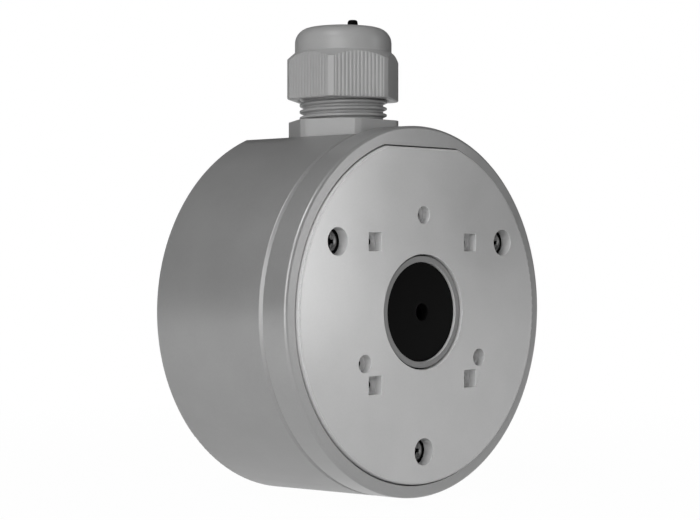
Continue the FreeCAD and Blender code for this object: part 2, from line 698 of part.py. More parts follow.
def make_mounting_plate():
    """Cast plate with screw cups, bush seat, round and square pockets for cameras."""
    body = new_body("mounting_plate")
    outline = new_sketch(body, "plate_area", "XZ_Plane", plate_back)
    add_cut_circle(outline, plate_radius, plate_chord)
    pad(body, "plate", outline, size.plate_thickness)
    round_edges(body, "plate_corners", size.corner_round,
                lambda edge: is_upright_corner(edge, plate_radius, plate_chord))
    round_edges(body, "plate_edge", size.plate_edge_round,
                lambda edge: edge.BoundBox.YMax < -face.value + 0.01)

    screw_x = screw_circle * cosine(size.screw_bearing)
    screw_z = screw_circle * sine(size.screw_bearing)
    cup = new_sketch(body, "cup_area", "XZ_Plane", cup_back)
    add_circle(cup, size.counterbore_radius + size.cup_wall, screw_x, screw_z)
    pattern(body, "cups", [pad(body, "cup", cup, plate_back - cup_back)], 3)
    boss = new_sketch(body, "bush_boss_area", "XZ_Plane", boss_back)
    barrel = bush_barrel + size.bush_fit
    add_circle(boss, barrel + size.bush_boss_wall)
    pad(body, "bush_boss", boss, plate_back - boss_back)
    round_boss = new_sketch(body, "round_boss_area", "XZ_Plane", boss_back)
    add_circle(round_boss, size.round_pocket_radius + size.pocket_wall,
               ZERO, size.camera_circle)
    pattern(body, "round_bosses",
            [pad(body, "round_boss", round_boss, plate_back - boss_back)], 3)
    near = size.square_spacing / 2 - size.square_pocket / 2
    far = size.square_spacing / 2 + size.square_pocket / 2
    square_boss = new_sketch(body, "square_boss_area", "XZ_Plane", boss_back)
    add_outline(square_boss, rectangle_corners(
        near - size.pocket_wall, far + size.pocket_wall,
        near - size.pocket_wall, far + size.pocket_wall))
    pattern(body, "square_bosses",
            [pad(body, "square_boss", square_boss, plate_back - boss_back)], 4)

    bore = new_sketch(body, "counterbore_area", "XZ_Plane", face)
    add_circle(bore, size.counterbore_radius, screw_x, screw_z)
    bore_cut = pocket(body, "counterbore", bore, face - cup_seat)
    hole = new_sketch(body, "screw_hole_area", "XZ_Plane", cup_seat)
    add_circle(hole, size.clearance_hole, screw_x, screw_z)
    hole_cut = pocket(body, "screw_hole", hole, size.cup_floor)
    pattern(body, "screw_seats", [bore_cut, hole_cut], 3)
    flange_seat = new_sketch(body, "flange_seat_area", "XZ_Plane", face)
    add_circle(flange_seat, size.bush_radius + size.bush_gap)
    pocket(body, "flange_seat", flange_seat, face - bush_seat)
    bush_hole = new_sketch(body, "bush_hole_area", "XZ_Plane", face)
    add_circle(bush_hole, barrel)
    pocket(body, "bush_hole", bush_hole, size.boss_depth)

    floor_depth = face - size.pocket_depth
    round_pocket = new_sketch(body, "round_pocket_area", "XZ_Plane", face)
    add_circle(round_pocket, size.round_pocket_radius, ZERO, size.camera_circle)
    round_cut = pocket(body, "round_pocket", round_pocket, size.pocket_depth)
    round_hole = camera_hole(body, "round_hole", ZERO, size.camera_circle, floor_depth)
    pattern(body, "round_pockets", [round_cut, round_hole], 3)
    square_pocket = new_sketch(body, "square_pocket_area", "XZ_Plane", face)
    add_outline(square_pocket, rectangle_corners(near, far, near, far))
    square_cut = pocket(body, "square_pocket", square_pocket, size.pocket_depth)
    middle = size.square_spacing / 2
    square_hole = camera_hole(body, "square_hole", middle, middle, floor_depth)
    pattern(body, "square_pockets", [square_cut, square_hole], 4)
    bevel_edges(body, "hole_mouths", size.camera_hole_bevel,
                lambda edge: is_circle(edge, size.camera_hole_radius, floor_depth))
    return body


def make_screw(label, length, across, up, seat):
    """Pan-head screw with a cross recess, its head standing on a seat at a depth."""
    body = new_body(label)
    body.setExpression("Placement.Base.x", across.text)
    body.setExpression("Placement.Base.z", up.text)
    body.setExpression("Placement.Base.y", "0 - " + seat.text)
    revolve(body, "blank", [
        (ZERO, length),
        (size.screw_radius - size.screw_tip, length),
        (size.screw_radius, length - size.screw_tip),
        (size.screw_radius, ZERO),
        (size.head_radius, ZERO),
        (size.head_radius, -size.head_height),
        (ZERO, -size.head_height),
    ])
    round_edges(body, "head_edge", size.head_round,
                lambda edge: is_circle(edge, size.head_radius, size.head_height))
    cross = new_sketch(body, "cross_area", "XZ_Plane", size.head_height)
    arm = size.cross_span / 2
    half = size.cross_width / 2
    add_outline(cross, [
        (arm, -half), (arm, half), (half, half), (half, arm),
        (-half, arm), (-half, half), (-arm, half), (-arm, -half),
        (-half, -half), (-half, -arm), (half, -arm), (half, -half),
    ])
    recess = pocket(body, "cross", cross, size.cross_depth)
    recess.setExpression("TaperAngle", "-" + size.cross_taper.text)
    recompute_cut(body, recess)
    return body


def make_screw_seal(label, across, up):
    """Rubber cup under and around the head of a plate screw."""
    body = new_body(label)
    body.setExpression("Placement.Base.x", across.text)
    body.setExpression("Placement.Base.z", up.text)
    body.setExpression("Placement.Base.y", "0 - " + cup_seat.text)
    outside = size.counterbore_radius - size.screw_seal_gap
    inside = size.head_radius + size.screw_seal_gap
    rim = size.screw_seal_floor + size.head_height - size.screw_seal_drop
    revolve(body, "seal", [
        (tap_radius, ZERO),
        (outside, ZERO),
        (outside, -rim),
        (inside, -rim),
        (inside, -size.screw_seal_floor),
        (tap_radius, -size.screw_seal_floor),
    ])
    return body


def make_cable_hole_bush():
    """Flanged bush in the centre of the plate."""
    body = new_body("cable_hole_bush")
    bevel = size.bush_bevel
    end = bush_front - size.bush_length
    revolve(body, "bush", [
        (bush_inner, -end),
        (bush_barrel, -end),
        (bush_barrel, -bush_seat),
        (size.bush_radius, -bush_seat),
        (size.bush_radius, -(bush_front - bevel)),
        (size.bush_radius - bevel, -bush_front),
        (bush_inner + bevel, -bush_front),
        (bush_inner, -(bush_front - bevel)),
    ])
    return body


def make_centre_plug():
    """Rubber plug in the bush, with a web, a cable hole and a lip behind the bush."""
    body = new_body("centre_plug")
    radius = bush_inner - size.plug_gap
    front = bush_front - size.plug_recess
    bush_end = bush_front - size.bush_length
    end = bush_end - size.plug_lip
    revolve(body, "plug", [
        (size.plug_hole_radius, -(front + size.plug_crown)),
        (radius, -front),
        (radius, -bush_end),
        (bush_barrel + size.plug_gap, -bush_end),
        (bush_barrel, -end),
        (radius - size.plug_rim, -end),
        (radius - size.plug_rim, -(front - size.plug_web)),
        (size.plug_hole_radius, -(front - size.plug_web)),
    ])
    return body


def gland_body_at_axis(label):
    """A sub-part that stands on the gland's axis."""
    body = new_body(label)
    body.setExpression("Placement.Base.y", "0 - " + gland_setback.text)
    return body


def make_gland_body():
    """Hexagonal base, lower thread, upper ridged thread and the seat for the claw."""
    body = gland_body_at_axis("gland_body")
    base = new_sketch(body, "base_area", "XY_Plane", flat_height)
    add_outline(base, hexagon_corners(size.gland_hex, 0))
    pad(body, "base", base, size.gland_hex_height)
    groove(body, "base_corners", [
        (size.gland_hex_corner, flat_height),
        (size.gland_hex, flat_height),
        (size.gland_hex, base_top),
        (size.gland_hex_corner, base_top),
    ], "XZ_Plane")

    pitch = size.cap_thread_pitch
    flank = (pitch - size.cap_thread_crest - size.cap_thread_valley) / 2
    count = int(size.cap_thread_length.value / pitch.value)
    foot = base_top - size.overlap
    thread = [(ZERO, foot), (size.cap_thread_root, foot)]
    for i in range(count):
        start = base_top + pitch * i + size.cap_thread_valley / 2
        end = start + flank * 2 + size.cap_thread_crest
        thread += [
            (size.cap_thread_root, start),
            (size.cap_thread_radius, start + flank),
            (size.cap_thread_radius, end - flank),
            (size.cap_thread_root, end),
        ]
    thread += [(size.cap_thread_root, thread_top), (ZERO, thread_top)]
    revolve(body, "cap_thread", thread, "XZ_Plane")
    spigot = new_sketch(body, "entry_thread_area", "XY_Plane", flat_height)
    add_circle(spigot, size.entry_thread_radius)
    pad(body, "entry_thread", spigot, size.entry_thread_length, backwards=True)
    seal_seat = size.entry_thread_radius + size.base_seal_width + size.entry_play
    groove(body, "seal_seat", [
        (size.entry_thread_radius, flat_height),
        (seal_seat, flat_height),
        (seal_seat, flat_height + size.base_seal_height),
        (size.entry_thread_radius, flat_height + size.base_seal_height),
    ], "XZ_Plane")
    groove(body, "bore", [
        (ZERO, flat_height - size.entry_thread_length),
        (size.gland_bore, flat_height - size.entry_thread_length),
        (size.gland_bore, claw_seat),
        (size.claw_radius + size.claw_seat_play, claw_seat),
        (size.claw_radius + size.claw_seat_play, thread_top),
        (ZERO, thread_top),
    ], "XZ_Plane")
    return body


def make_gland_seal_ring():
    """Seal ring in the underside of the gland's base."""
    body = gland_body_at_axis("gland_seal_ring")
    sketch = new_sketch(body, "ring_area", "XY_Plane", flat_height)
    inner = size.entry_thread_radius + size.entry_play / 2
    add_circle(sketch, inner + size.base_seal_width)
    add_circle(sketch, inner)
    pad(body, "ring", sketch, size.base_seal_height)
    return body


def make_gland_lock_nut():
    """Hexagonal nut that holds the gland from inside the box."""
    body = gland_body_at_axis("gland_lock_nut")
    sketch = new_sketch(body, "nut_area", "XY_Plane", cavity_top)
    add_outline(sketch, hexagon_corners(size.lock_nut_hex, 0))
    add_circle(sketch, size.entry_thread_radius + size.thread_play)
    pad(body, "nut", sketch, size.lock_nut_height, backwards=True)
    return body


def make_gland_claw():
    """Clamping claw: a foot ring with tapered fingers around the rubber seal."""
    body = gland_body_at_axis("gland_claw")
    inner = size.seal_radius + size.seal_play
    foot_top = claw_seat + size.claw_foot
    revolve(body, "claw", [
        (inner, claw_seat),
        (size.claw_radius, claw_seat),
        (size.claw_radius, foot_top),
        (size.claw_tip_radius, claw_seat + size.claw_height),
        (inner, claw_seat + size.claw_height),
    ], "XZ_Plane")
    slot = new_sketch(body, "slot_area", "XY_Plane", foot_top)
    add_outline(slot, rectangle_corners(
        inner - size.overlap, size.claw_radius + size.overlap,
        -size.claw_slot / 2, size.claw_slot / 2))
    cut = pocket(body, "slot", slot, size.claw_height, forwards=True)
    pattern(body, "slots", [cut], size.finger_count, "Z_Axis")
    return body


def make_gland_seal():
    """Rubber seal inside the claw, with one hole beside its axis."""
    body = gland_body_at_axis("gland_seal")
    neck = size.mouth_radius - size.seal_play - size.nut_thread_play
    shoulder = nut_bottom + size.nut_cone_height
    revolve(body, "seal", [
        (ZERO, claw_seat - size.seal_drop),
        (size.seal_radius, claw_seat - size.seal_drop),
        (size.seal_radius, shoulder),
        (neck, shoulder + size.seal_play),
        (neck, nut_top - size.seal_recess),
        (ZERO, nut_top - size.seal_recess),
    ], "XZ_Plane")
    hole = new_sketch(body, "pin_hole_area", "XY_Plane", nut_top)
    add_circle(hole, size.pin_radius + size.pin_fit,
               size.pin_offset * cosine(size.pin_bearing),
               size.pin_offset * sine(size.pin_bearing))
    pocket(body, "pin_hole", hole)
    return body


def make_blanking_pin():
    """Headed pin that closes the seal's hole, its rounded tip above the nut."""
    body = new_body("gland_blanking_pin")
    body.setExpression("Placement.Base.x",
                       (size.pin_offset * cosine(size.pin_bearing)).text)
    body.setExpression("Placement.Base.y",
                       (size.pin_offset * sine(size.pin_bearing) - gland_setback).text)
    seat = claw_seat - size.seal_drop
    tip = nut_top + size.pin_rise
    revolve(body, "pin", [
        (ZERO, seat - size.pin_head_height),
        (size.pin_head_radius, seat - size.pin_head_height),
        (size.pin_head_radius, seat),
        (size.pin_radius, seat),
        (size.pin_radius, tip),
        (ZERO, tip),
    ], "XZ_Plane")
    round_edges(body, "tip", size.pin_round,
                lambda edge: edge.BoundBox.ZMin > tip.value - 0.01)
    return body


def ribbed_hexagon():
    """Outline of a hexagon with fine upright ribs on its flats and trimmed corners.

    Each flat runs between two trimmed corners and is divided into equal ribs. Every
    rib is a shallow tooth: its crest lies on the flat and its root a rib depth inside.
    """
    apothem = size.nut_hex.value / 2
    depth = size.rib_depth.value
    ribs = int(size.rib_count.value)
    half_angle = math.radians(HALF_STEP.value)
    half_flat = apothem * math.tan(half_angle)
    half_run = half_flat - size.nut_corner_flat.value / 2 / math.sin(2 * half_angle)
    step = 2 * half_run / ribs
    crest = step * size.rib_crest.value
    rise = (step - crest) / 2
    points = []
    for side in range(6):
        angle = math.radians(size.nut_bearing.value) + half_angle * (2 * side + 1)
        out = Vector(math.cos(angle), math.sin(angle), 0)
        along = Vector(-math.sin(angle), math.cos(angle), 0)
        points.append(out * apothem - along * half_run)
        for rib in range(ribs):
            root = -half_run + step * rib + rise / 2
            points.append(out * (apothem - depth) + along * root)
            points.append(out * apothem + along * (root + rise))
            points.append(out * apothem + along * (root + rise + crest))
        points.append(out * (apothem - depth) + along * half_run)
    points.append(points[0])
    return Part.makePolygon(points)


def make_gland_nut():
    """Cap nut: ribbed hexagon with coned corners, domed top, bore and inner cone."""
    trim = size.nut_corner_flat / 2 * sine(HALF_STEP) / cosine(HALF_STEP)
    apex = size.nut_hex / (cosine(HALF_STEP) * 2) - trim
    bevel = size.nut_underside_bevel
    turned = gland_body_at_axis("gland_nut_turned")
    slope = sine(size.nut_cone_slope) / cosine(size.nut_cone_slope)
    cone_top = nut_bottom + size.nut_hex_height + (apex - size.dome_radius) * slope
    revolve(turned, "envelope", [
        (ZERO, nut_bottom),
        (apex - bevel, nut_bottom),
        (apex, nut_bottom + bevel),
        (apex, nut_bottom + size.nut_hex_height),
        (size.dome_radius, cone_top),
        (ZERO, cone_top),
    ], "XZ_Plane")

    prism = doc.addObject("Part::Feature", "ribbed_prism")
    prism.Shape = Part.Face(ribbed_hexagon()).extrude(Vector(0, 0, size.nut_height.value))
    prism.setExpression("Placement.Base.y", "0 - " + gland_setback.text)
    prism.setExpression("Placement.Base.z", nut_bottom.text)
    hexagon = doc.addObject("Part::MultiCommon", "nut_hexagon")
    hexagon.Shapes = [turned, prism]

    dome = gland_body_at_axis("gland_nut_dome")
    inside = size.dome_radius - size.overlap
    revolve(dome, "dome", [
        (ZERO, nut_bottom + size.overlap),
        (inside, nut_bottom + size.overlap),
        (inside, cone_top - size.overlap),
        (size.dome_radius, cone_top - size.overlap),
        (size.dome_radius, nut_top - size.dome_crown),
        (ZERO, nut_top + size.dome_crown),
    ], "XZ_Plane")
    round_edges(dome, "shoulder", size.dome_round,
                lambda edge: is_circle(edge, size.dome_radius)
                and edge.BoundBox.ZMin > cone_top.value)
    solid = doc.addObject("Part::MultiFuse", "nut_solid")
    solid.Shapes = [hexagon, dome]

    hollow = gland_body_at_axis("gland_nut_hollow")
    bore = size.cap_thread_radius + size.nut_thread_play
    cone_end = nut_bottom + size.nut_cone_height
    revolve(hollow, "hollow", [
        (ZERO, nut_bottom - size.overlap),
        (bore + size.overlap, nut_bottom - size.overlap),
        (bore, nut_bottom + bevel),
        (bore, nut_bottom + size.nut_bore_height),
        (size.nut_cone_radius, nut_bottom + size.nut_bore_height + bevel),
        (size.nut_cone_top, cone_end),
        (size.mouth_radius - size.seal_play, cone_end + size.seal_play * 2),
        (size.mouth_radius - size.seal_play, nut_top - size.seal_recess),
        (size.mouth_radius, nut_top - size.seal_play),
        (size.mouth_radius, nut_top + size.nut_height),
        (ZERO, nut_top + size.nut_height),
    ], "XZ_Plane")
    nut = doc.addObject("Part::Cut", "gland_nut")
    nut.Base = solid
    nut.Tool = hollow
    nut.Label = "gland_nut"
    doc.recompute()
    return nut


def make_earth_washer():
    """Plain washer under the earth screw's head."""
    body = new_body("earth_washer")
    earth_x, earth_z = earth_place()
    body.setExpression("Placement.Base.x", earth_x.text)
    body.setExpression("Placement.Base.z", earth_z.text)
    sketch = new_sketch(body, "washer_area", "XZ_Plane",
                        size.back_wall + size.earth_boss_rise)
    add_circle(sketch, size.earth_boss_radius)
    add_circle(sketch, size.clearance_hole)
    pad(body, "washer", sketch, size.washer_thickness)
    return body


def build_pieces():
    """Every sub-part, in the order in which the box goes together."""
    pieces = [make_rear_housing(), make_wall_grommet()]
    earth_seat = size.back_wall + size.earth_boss_rise + size.washer_thickness
    pieces.append(make_earth_washer())
    earth_x, earth_z = earth_place()
    pieces.append(make_screw("earth_screw", size.earth_screw_length,
                             earth_x, earth_z, earth_seat))
    pieces += [make_ring_gasket(), make_front_ring()]
    for number in range(4):
        bearing = size.post_bearing + 90.0 * number
        pieces.append(make_screw("ring_screw_%d" % (number + 1), size.ring_screw_length,
                                 post_circle * cosine(bearing),
                                 post_circle * sine(bearing),
                                 ring_back + size.ring_lug_thickness))
    pieces += [make_plate_gasket(), make_mounting_plate()]
    for number, side in enumerate(("right", "left", "bottom")):
        bearing = size.screw_bearing + 120.0 * number
        across = screw_circle * cosine(bearing)
        up = screw_circle * sine(bearing)
        pieces.append(make_screw_seal("screw_seal_" + side, across, up))
        pieces.append(make_screw("plate_screw_" + side, size.plate_screw_length,
                                 across, up, cup_seat + size.screw_seal_floor))
    pieces += [make_cable_hole_bush(), make_centre_plug()]
    pieces += [make_gland_body(), make_gland_seal_ring(), make_gland_lock_nut()]
    pieces += [make_gland_claw(), make_gland_seal(), make_blanking_pin(), make_gland_nut()]
    return pieces


pieces = build_pieces()
doc.recompute()
for item in doc.Objects:
    if "Invalid" in item.State or "Error" in item.State:
        raise RuntimeError("%s failed: %s" % (item.Label, item.State))
for piece in pieces:
    if piece.Shape.isNull() or not piece.Shape.isValid():
        raise RuntimeError("%s has no valid shape" % piece.Label)
    if len(piece.Shape.Solids) != 1:
        raise RuntimeError("%s has %d solids" % (piece.Label, len(piece.Shape.Solids)))

os.makedirs("parts", exist_ok=True)
for piece in pieces:
    piece.Shape.exportStep("parts/%s.step" % piece.Label)
    box = piece.Shape.BoundBox
    print("%-20s %8.0f mm3  x %6.1f %6.1f  y %6.1f %6.1f  z %6.1f %6.1f" % (
        piece.Label, piece.Shape.Volume,
        box.XMin, box.XMax, box.YMin, box.YMax, box.ZMin, box.ZMax))
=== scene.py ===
import json
import math

import bmesh
import bpy
import numpy as np
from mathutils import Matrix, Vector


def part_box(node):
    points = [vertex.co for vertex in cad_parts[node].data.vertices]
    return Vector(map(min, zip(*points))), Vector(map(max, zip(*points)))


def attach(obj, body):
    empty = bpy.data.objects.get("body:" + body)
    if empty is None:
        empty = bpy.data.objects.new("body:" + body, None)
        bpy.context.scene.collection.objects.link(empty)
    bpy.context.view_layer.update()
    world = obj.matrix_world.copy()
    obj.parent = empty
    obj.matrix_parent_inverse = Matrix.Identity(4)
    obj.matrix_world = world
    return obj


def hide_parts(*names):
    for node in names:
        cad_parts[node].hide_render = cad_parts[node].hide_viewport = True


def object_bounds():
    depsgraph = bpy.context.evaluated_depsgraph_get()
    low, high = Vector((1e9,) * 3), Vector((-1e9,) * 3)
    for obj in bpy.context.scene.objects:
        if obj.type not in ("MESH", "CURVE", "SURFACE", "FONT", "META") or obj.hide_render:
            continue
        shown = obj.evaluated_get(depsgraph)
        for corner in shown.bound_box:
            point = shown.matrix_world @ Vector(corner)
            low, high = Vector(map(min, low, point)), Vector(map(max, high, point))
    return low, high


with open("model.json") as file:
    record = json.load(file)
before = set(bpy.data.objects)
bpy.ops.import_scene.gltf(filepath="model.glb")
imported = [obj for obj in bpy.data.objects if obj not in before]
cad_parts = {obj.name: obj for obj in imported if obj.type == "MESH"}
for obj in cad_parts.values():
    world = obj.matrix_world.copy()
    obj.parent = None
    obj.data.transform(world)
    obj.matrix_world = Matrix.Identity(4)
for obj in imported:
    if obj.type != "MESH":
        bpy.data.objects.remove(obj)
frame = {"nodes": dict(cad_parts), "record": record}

# Round camera junction box: cast housing, cast ring and plate, cable gland on top.
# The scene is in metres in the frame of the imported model. The front face looks
# along -Y, +Z runs up through the gland, and the wall is the plane y = 0. The sizes
# of the pieces are given in millimetres, those of floor and lights in metres.

cad_low, cad_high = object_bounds()
MM = 0.001
TURN = 2 * math.pi
nodes = frame["nodes"]


# Places and sizes

def middle(node):
    """Centre of a node's box, in millimetres."""
    low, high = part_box(node)
    return (np.array(low) + np.array(high)) / 2 / MM


def extent(node):
    """Lowest and highest corner of a node, in millimetres."""
    low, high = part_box(node)
    return np.array(low) / MM, np.array(high) / MM


GLAND_AXIS = middle("gland_lock_nut")[:2]
NUT_FOOT = extent("gland_nut")[0][2]
BASE_FOOT = extent("gland_seal_ring")[0][2]
GLAND_FOOT, GLAND_TOP = extent("gland_body")[0][2], extent("gland_body")[1][2]
PLATE_FACE = -extent("mounting_plate")[0][1]
BUSH_FACE = -extent("cable_hole_bush")[0][1]
BUSH_BACK = -extent("cable_hole_bush")[1][1]
PLUG_FACE = -extent("centre_plug")[0][1]
PLUG_BACK = -extent("centre_plug")[1][1]
PIN_AXIS = middle("gland_blanking_pin")[:2]
PIN_FOOT, PIN_TOP = extent("gland_blanking_pin")[0][2], extent("gland_blanking_pin")[1][2]
GROMMET_UP = middle("wall_grommet")[2]
GROMMET_OUTSIDE = -extent("wall_grommet")[1][1]
GROMMET_INSIDE = -extent("wall_grommet")[0][1]


# Mesh code

NEAR_MIDDLE = 0.49
TINY = 1e-9
SAME_PLACE = 1e-7


def soft_profile(corners, rounding, steps=5):
    """Rounds the corners of closed profiles.

    corners has the shape (..., corners, 2). At each corner P with neighbours A and B,
    the points a and b lie on PA and PB at the corner's rounding from P, though never
    past the middle, and the corner becomes (1-t)^2 a + 2t(1-t) P + t^2 b.
    """
    corners = np.asarray(corners, float)
    rounding = np.broadcast_to(np.asarray(rounding, float), corners.shape[:-1])[..., None]
    before = np.roll(corners, 1, axis=-2) - corners
    after = np.roll(corners, -1, axis=-2) - corners
    near_before = np.maximum(np.linalg.norm(before, axis=-1, keepdims=True), TINY)
    near_after = np.maximum(np.linalg.norm(after, axis=-1, keepdims=True), TINY)
    start = corners + before * np.minimum(rounding / near_before, NEAR_MIDDLE)
    end = corners + after * np.minimum(rounding / near_after, NEAR_MIDDLE)
    t = np.linspace(0, 1, steps)[:, None]
    curve = ((1 - t) ** 2 * start[..., None, :] + 2 * t * (1 - t) * corners[..., None, :]
             + t ** 2 * end[..., None, :])
    return curve.reshape(corners.shape[:-2] + (-1, 2))


def grid_mesh(name, points, round_u=True, round_v=True):
    """A mesh of quads over a grid of points of the shape (u, v, 3), in millimetres.

    Quad (i, j) joins points (i, j), (i+1, j), (i+1, j+1) and (i, j+1), with the last
    row or column joined to the first where that way runs round.
    """
    rows, columns = points.shape[:2]
    i, j = np.meshgrid(np.arange(rows if round_u else rows - 1),
                       np.arange(columns if round_v else columns - 1), indexing="ij")
    i, j = i.ravel(), j.ravel()
    next_i, next_j = (i + 1) % rows, (j + 1) % columns
    quads = np.stack([i * columns + j, next_i * columns + j,
                      next_i * columns + next_j, i * columns + next_j], axis=1)
    mesh = bpy.data.meshes.new(name)
    mesh.from_pydata((points.reshape(-1, 3) * MM).tolist(), [], quads.tolist())
    work = bmesh.new()
    work.from_mesh(mesh)
    bmesh.ops.remove_doubles(work, verts=work.verts, dist=SAME_PLACE)
    bmesh.ops.recalc_face_normals(work, faces=work.faces)
    work.to_mesh(mesh)
    work.free()
    mesh.shade_smooth()
    return mesh


def turned(profile, angles, axis="z", centre=(0.0, 0.0)):
    """Points of a profile of (radius, height) pairs carried round an axis.

    A profile of the shape (angles, points, 2) may differ from angle to angle. About
    z, a point is (cx + r cos a, cy + r sin a, h); about y, it is
    (cx + r cos a, -h, cz + r sin a).
    """
    radius = profile[..., 0]
    height = profile[..., 1]
    if profile.ndim == 2:
        radius = np.broadcast_to(radius, (len(angles), len(radius)))
        height = np.broadcast_to(height, radius.shape)
    across = centre[0] + radius * np.cos(angles)[:, None]
    along = centre[1] + radius * np.sin(angles)[:, None]
    if axis == "z":
        return np.stack([across, along, height], axis=-1)
    return np.stack([across, -height, along], axis=-1)


# Surface effects

def node_group(name, inputs, outputs):
    """An empty shader group with float inputs (name, value) and named outputs."""
    group = bpy.data.node_groups.new(name, "ShaderNodeTree")
    for title, value in inputs:
        socket = group.interface.new_socket(title, in_out="INPUT",
                                            socket_type="NodeSocketFloat")
        socket.default_value = value
    for title, kind in outputs:
        group.interface.new_socket(title, in_out="OUTPUT", socket_type=kind)
    return group, group.nodes.new("NodeGroupInput"), group.nodes.new("NodeGroupOutput")


def math_node(tree, operation, first, second):
    """A math node whose inputs are numbers or sockets."""
    made = tree.nodes.new("ShaderNodeMath")
    made.operation = operation
    for number, value in enumerate((first, second)):
        if isinstance(value, (int, float)):
            made.inputs[number].default_value = value
        else:
            tree.links.new(value, made.inputs[number])
    return made.outputs[0]


def noise_node(tree, place, scale, detail):
    """A noise texture on object coordinates. scale is a number or a socket."""
    noise = tree.nodes.new("ShaderNodeTexNoise")
    tree.links.new(place, noise.inputs["Vector"])
    if isinstance(scale, (int, float)):
        noise.inputs["Scale"].default_value = scale
    else:
        tree.links.new(scale, noise.inputs["Scale"])
    noise.inputs["Detail"].default_value = detail
    return noise.outputs["Fac"]


GRAIN_SCALE = 1500.0
COARSE_SCALE = 0.35
MOTTLE_SCALE = 60.0
FINE_IN_HEIGHT = 0.6
MOTTLE_IN_TONE = 0.7


def make_grain():
    """Fine grain: height of a two-size noise, and a faint broad mottling of tone."""
    group, given, result = node_group(
        "fine_grain", [("Scale", GRAIN_SCALE)],
        [("Height", "NodeSocketFloat"), ("Tone", "NodeSocketFloat")])
    place = group.nodes.new("ShaderNodeTexCoord").outputs["Object"]
    fine = noise_node(group, place, given.outputs["Scale"], detail=2.0)
    coarse_scale = math_node(group, "MULTIPLY", given.outputs["Scale"], COARSE_SCALE)
    coarse = noise_node(group, place, coarse_scale, detail=1.0)
    height = math_node(group, "ADD", math_node(group, "MULTIPLY", fine, FINE_IN_HEIGHT),
                       math_node(group, "MULTIPLY", coarse, 1 - FINE_IN_HEIGHT))
    mottle = noise_node(group, place, MOTTLE_SCALE, detail=3.0)
    tone = math_node(group, "ADD", math_node(group, "MULTIPLY", mottle, MOTTLE_IN_TONE),
                     math_node(group, "MULTIPLY", fine, 1 - MOTTLE_IN_TONE))
    group.links.new(height, result.inputs["Height"])
    group.links.new(tone, result.inputs["Tone"])
    return group


GRAIN = make_grain()


def linear(tone):
    """Linear value of an sRGB tone given from 0 to 1."""
    return tone / 12.92 if tone <= 0.04045 else ((tone + 0.055) / 1.055) ** 2.4


MASK_LOW, MASK_HIGH = 0.3, 0.7
GLOSS_SPREAD = 0.1
BUMP_DISTANCE = 0.00001


def finish_material(name, tone, roughness, spread=0.03, grain=GRAIN_SCALE,
                    strength=0.4, metallic=0.0, specular=0.5):
    """A painted, moulded or plated finish, or a flat tone that stands for painted shade or
    a painted highlight.

    Its base colour runs between two tones a spread apart with the mottling, its
    roughness follows the same mask, and the grain's height gives the bump.
    """
    material = bpy.data.materials.new(name + "_finish")
    material.use_nodes = True
    tree = material.node_tree
    shader = tree.nodes["Principled BSDF"]
    shader.inputs["Metallic"].default_value = metallic
    shader.inputs["Specular IOR Level"].default_value = specular
    grains = tree.nodes.new("ShaderNodeGroup")
    grains.node_tree = GRAIN
    grains.inputs["Scale"].default_value = grain
    ramp = tree.nodes.new("ShaderNodeValToRGB")
    for element, place, level in zip(ramp.color_ramp.elements, (MASK_LOW, MASK_HIGH),
                                     (tone - spread / 2, tone + spread / 2)):
        element.position = place
        element.color = [linear(level)] * 3 + [1.0]
    tree.links.new(grains.outputs["Tone"], ramp.inputs["Fac"])
    tree.links.new(ramp.outputs["Color"], shader.inputs["Base Color"])
    gloss = math_node(tree, "MULTIPLY", grains.outputs["Tone"], GLOSS_SPREAD)
    tree.links.new(math_node(tree, "ADD", gloss, roughness - GLOSS_SPREAD / 2),
                   shader.inputs["Roughness"])
    relief = tree.nodes.new("ShaderNodeBump")
    relief.inputs["Strength"].default_value = strength
    relief.inputs["Distance"].default_value = BUMP_DISTANCE
    tree.links.new(grains.outputs["Height"], relief.inputs["Height"])
    tree.links.new(relief.outputs["Normal"], shader.inputs["Normal"])
    return material


finishes = {
    "housing_paint": finish_material("housing_paint", 0.614, 0.38, metallic=0.33),
    "ring_paint": finish_material("ring_paint", 0.63, 0.30, strength=0.0, metallic=0.33),
    "plate_paint": finish_material("plate_paint", 0.797, 0.19, metallic=0.2),
    "bush_plastic": finish_material("bush_plastic", 0.54, 0.40, grain=2500.0),
    "gland_plastic": finish_material("gland_plastic", 0.645, 0.38, grain=2500.0),
    "claw_plastic": finish_material("claw_plastic", 0.66, 0.42, grain=2500.0),
    "black_rubber": finish_material("black_rubber", 0.02, 0.6, spread=0.01, grain=3000.0,
                                    specular=0.06),
    "dark_screw_steel": finish_material("dark_screw_steel", 0.50, 0.42, metallic=0.8,
                                        grain=4000.0),
    "zinc_steel": finish_material("zinc_steel", 0.72, 0.3, metallic=1.0, grain=4000.0),
}
# Near-black painted shade for deep places: the camera holes, the screw counterbores round
# the heads, the bush seat and the screws' driver recesses.
painted_bore_shade = finish_material("painted_bore_shade", 0.03, 0.7, spread=0.01, specular=0.05)
recess_paint = finish_material("recess_paint", 0.80, 0.5)
# A lighter copy of the bush's plastic for its bore: a painted highlight on the bore's
# wall, which shows as a bright line inside the bush.
painted_bore_highlight = finish_material("painted_bore_highlight", 0.80, 0.4, grain=2500.0)
slot_of = {part["node"]: part["material_slot"] for part in frame["record"]["subparts"]}
for name, node in nodes.items():
    node.material_slots[0].material = finishes[slot_of[name]]


# Pieces

BEVEL_STEPS = 3


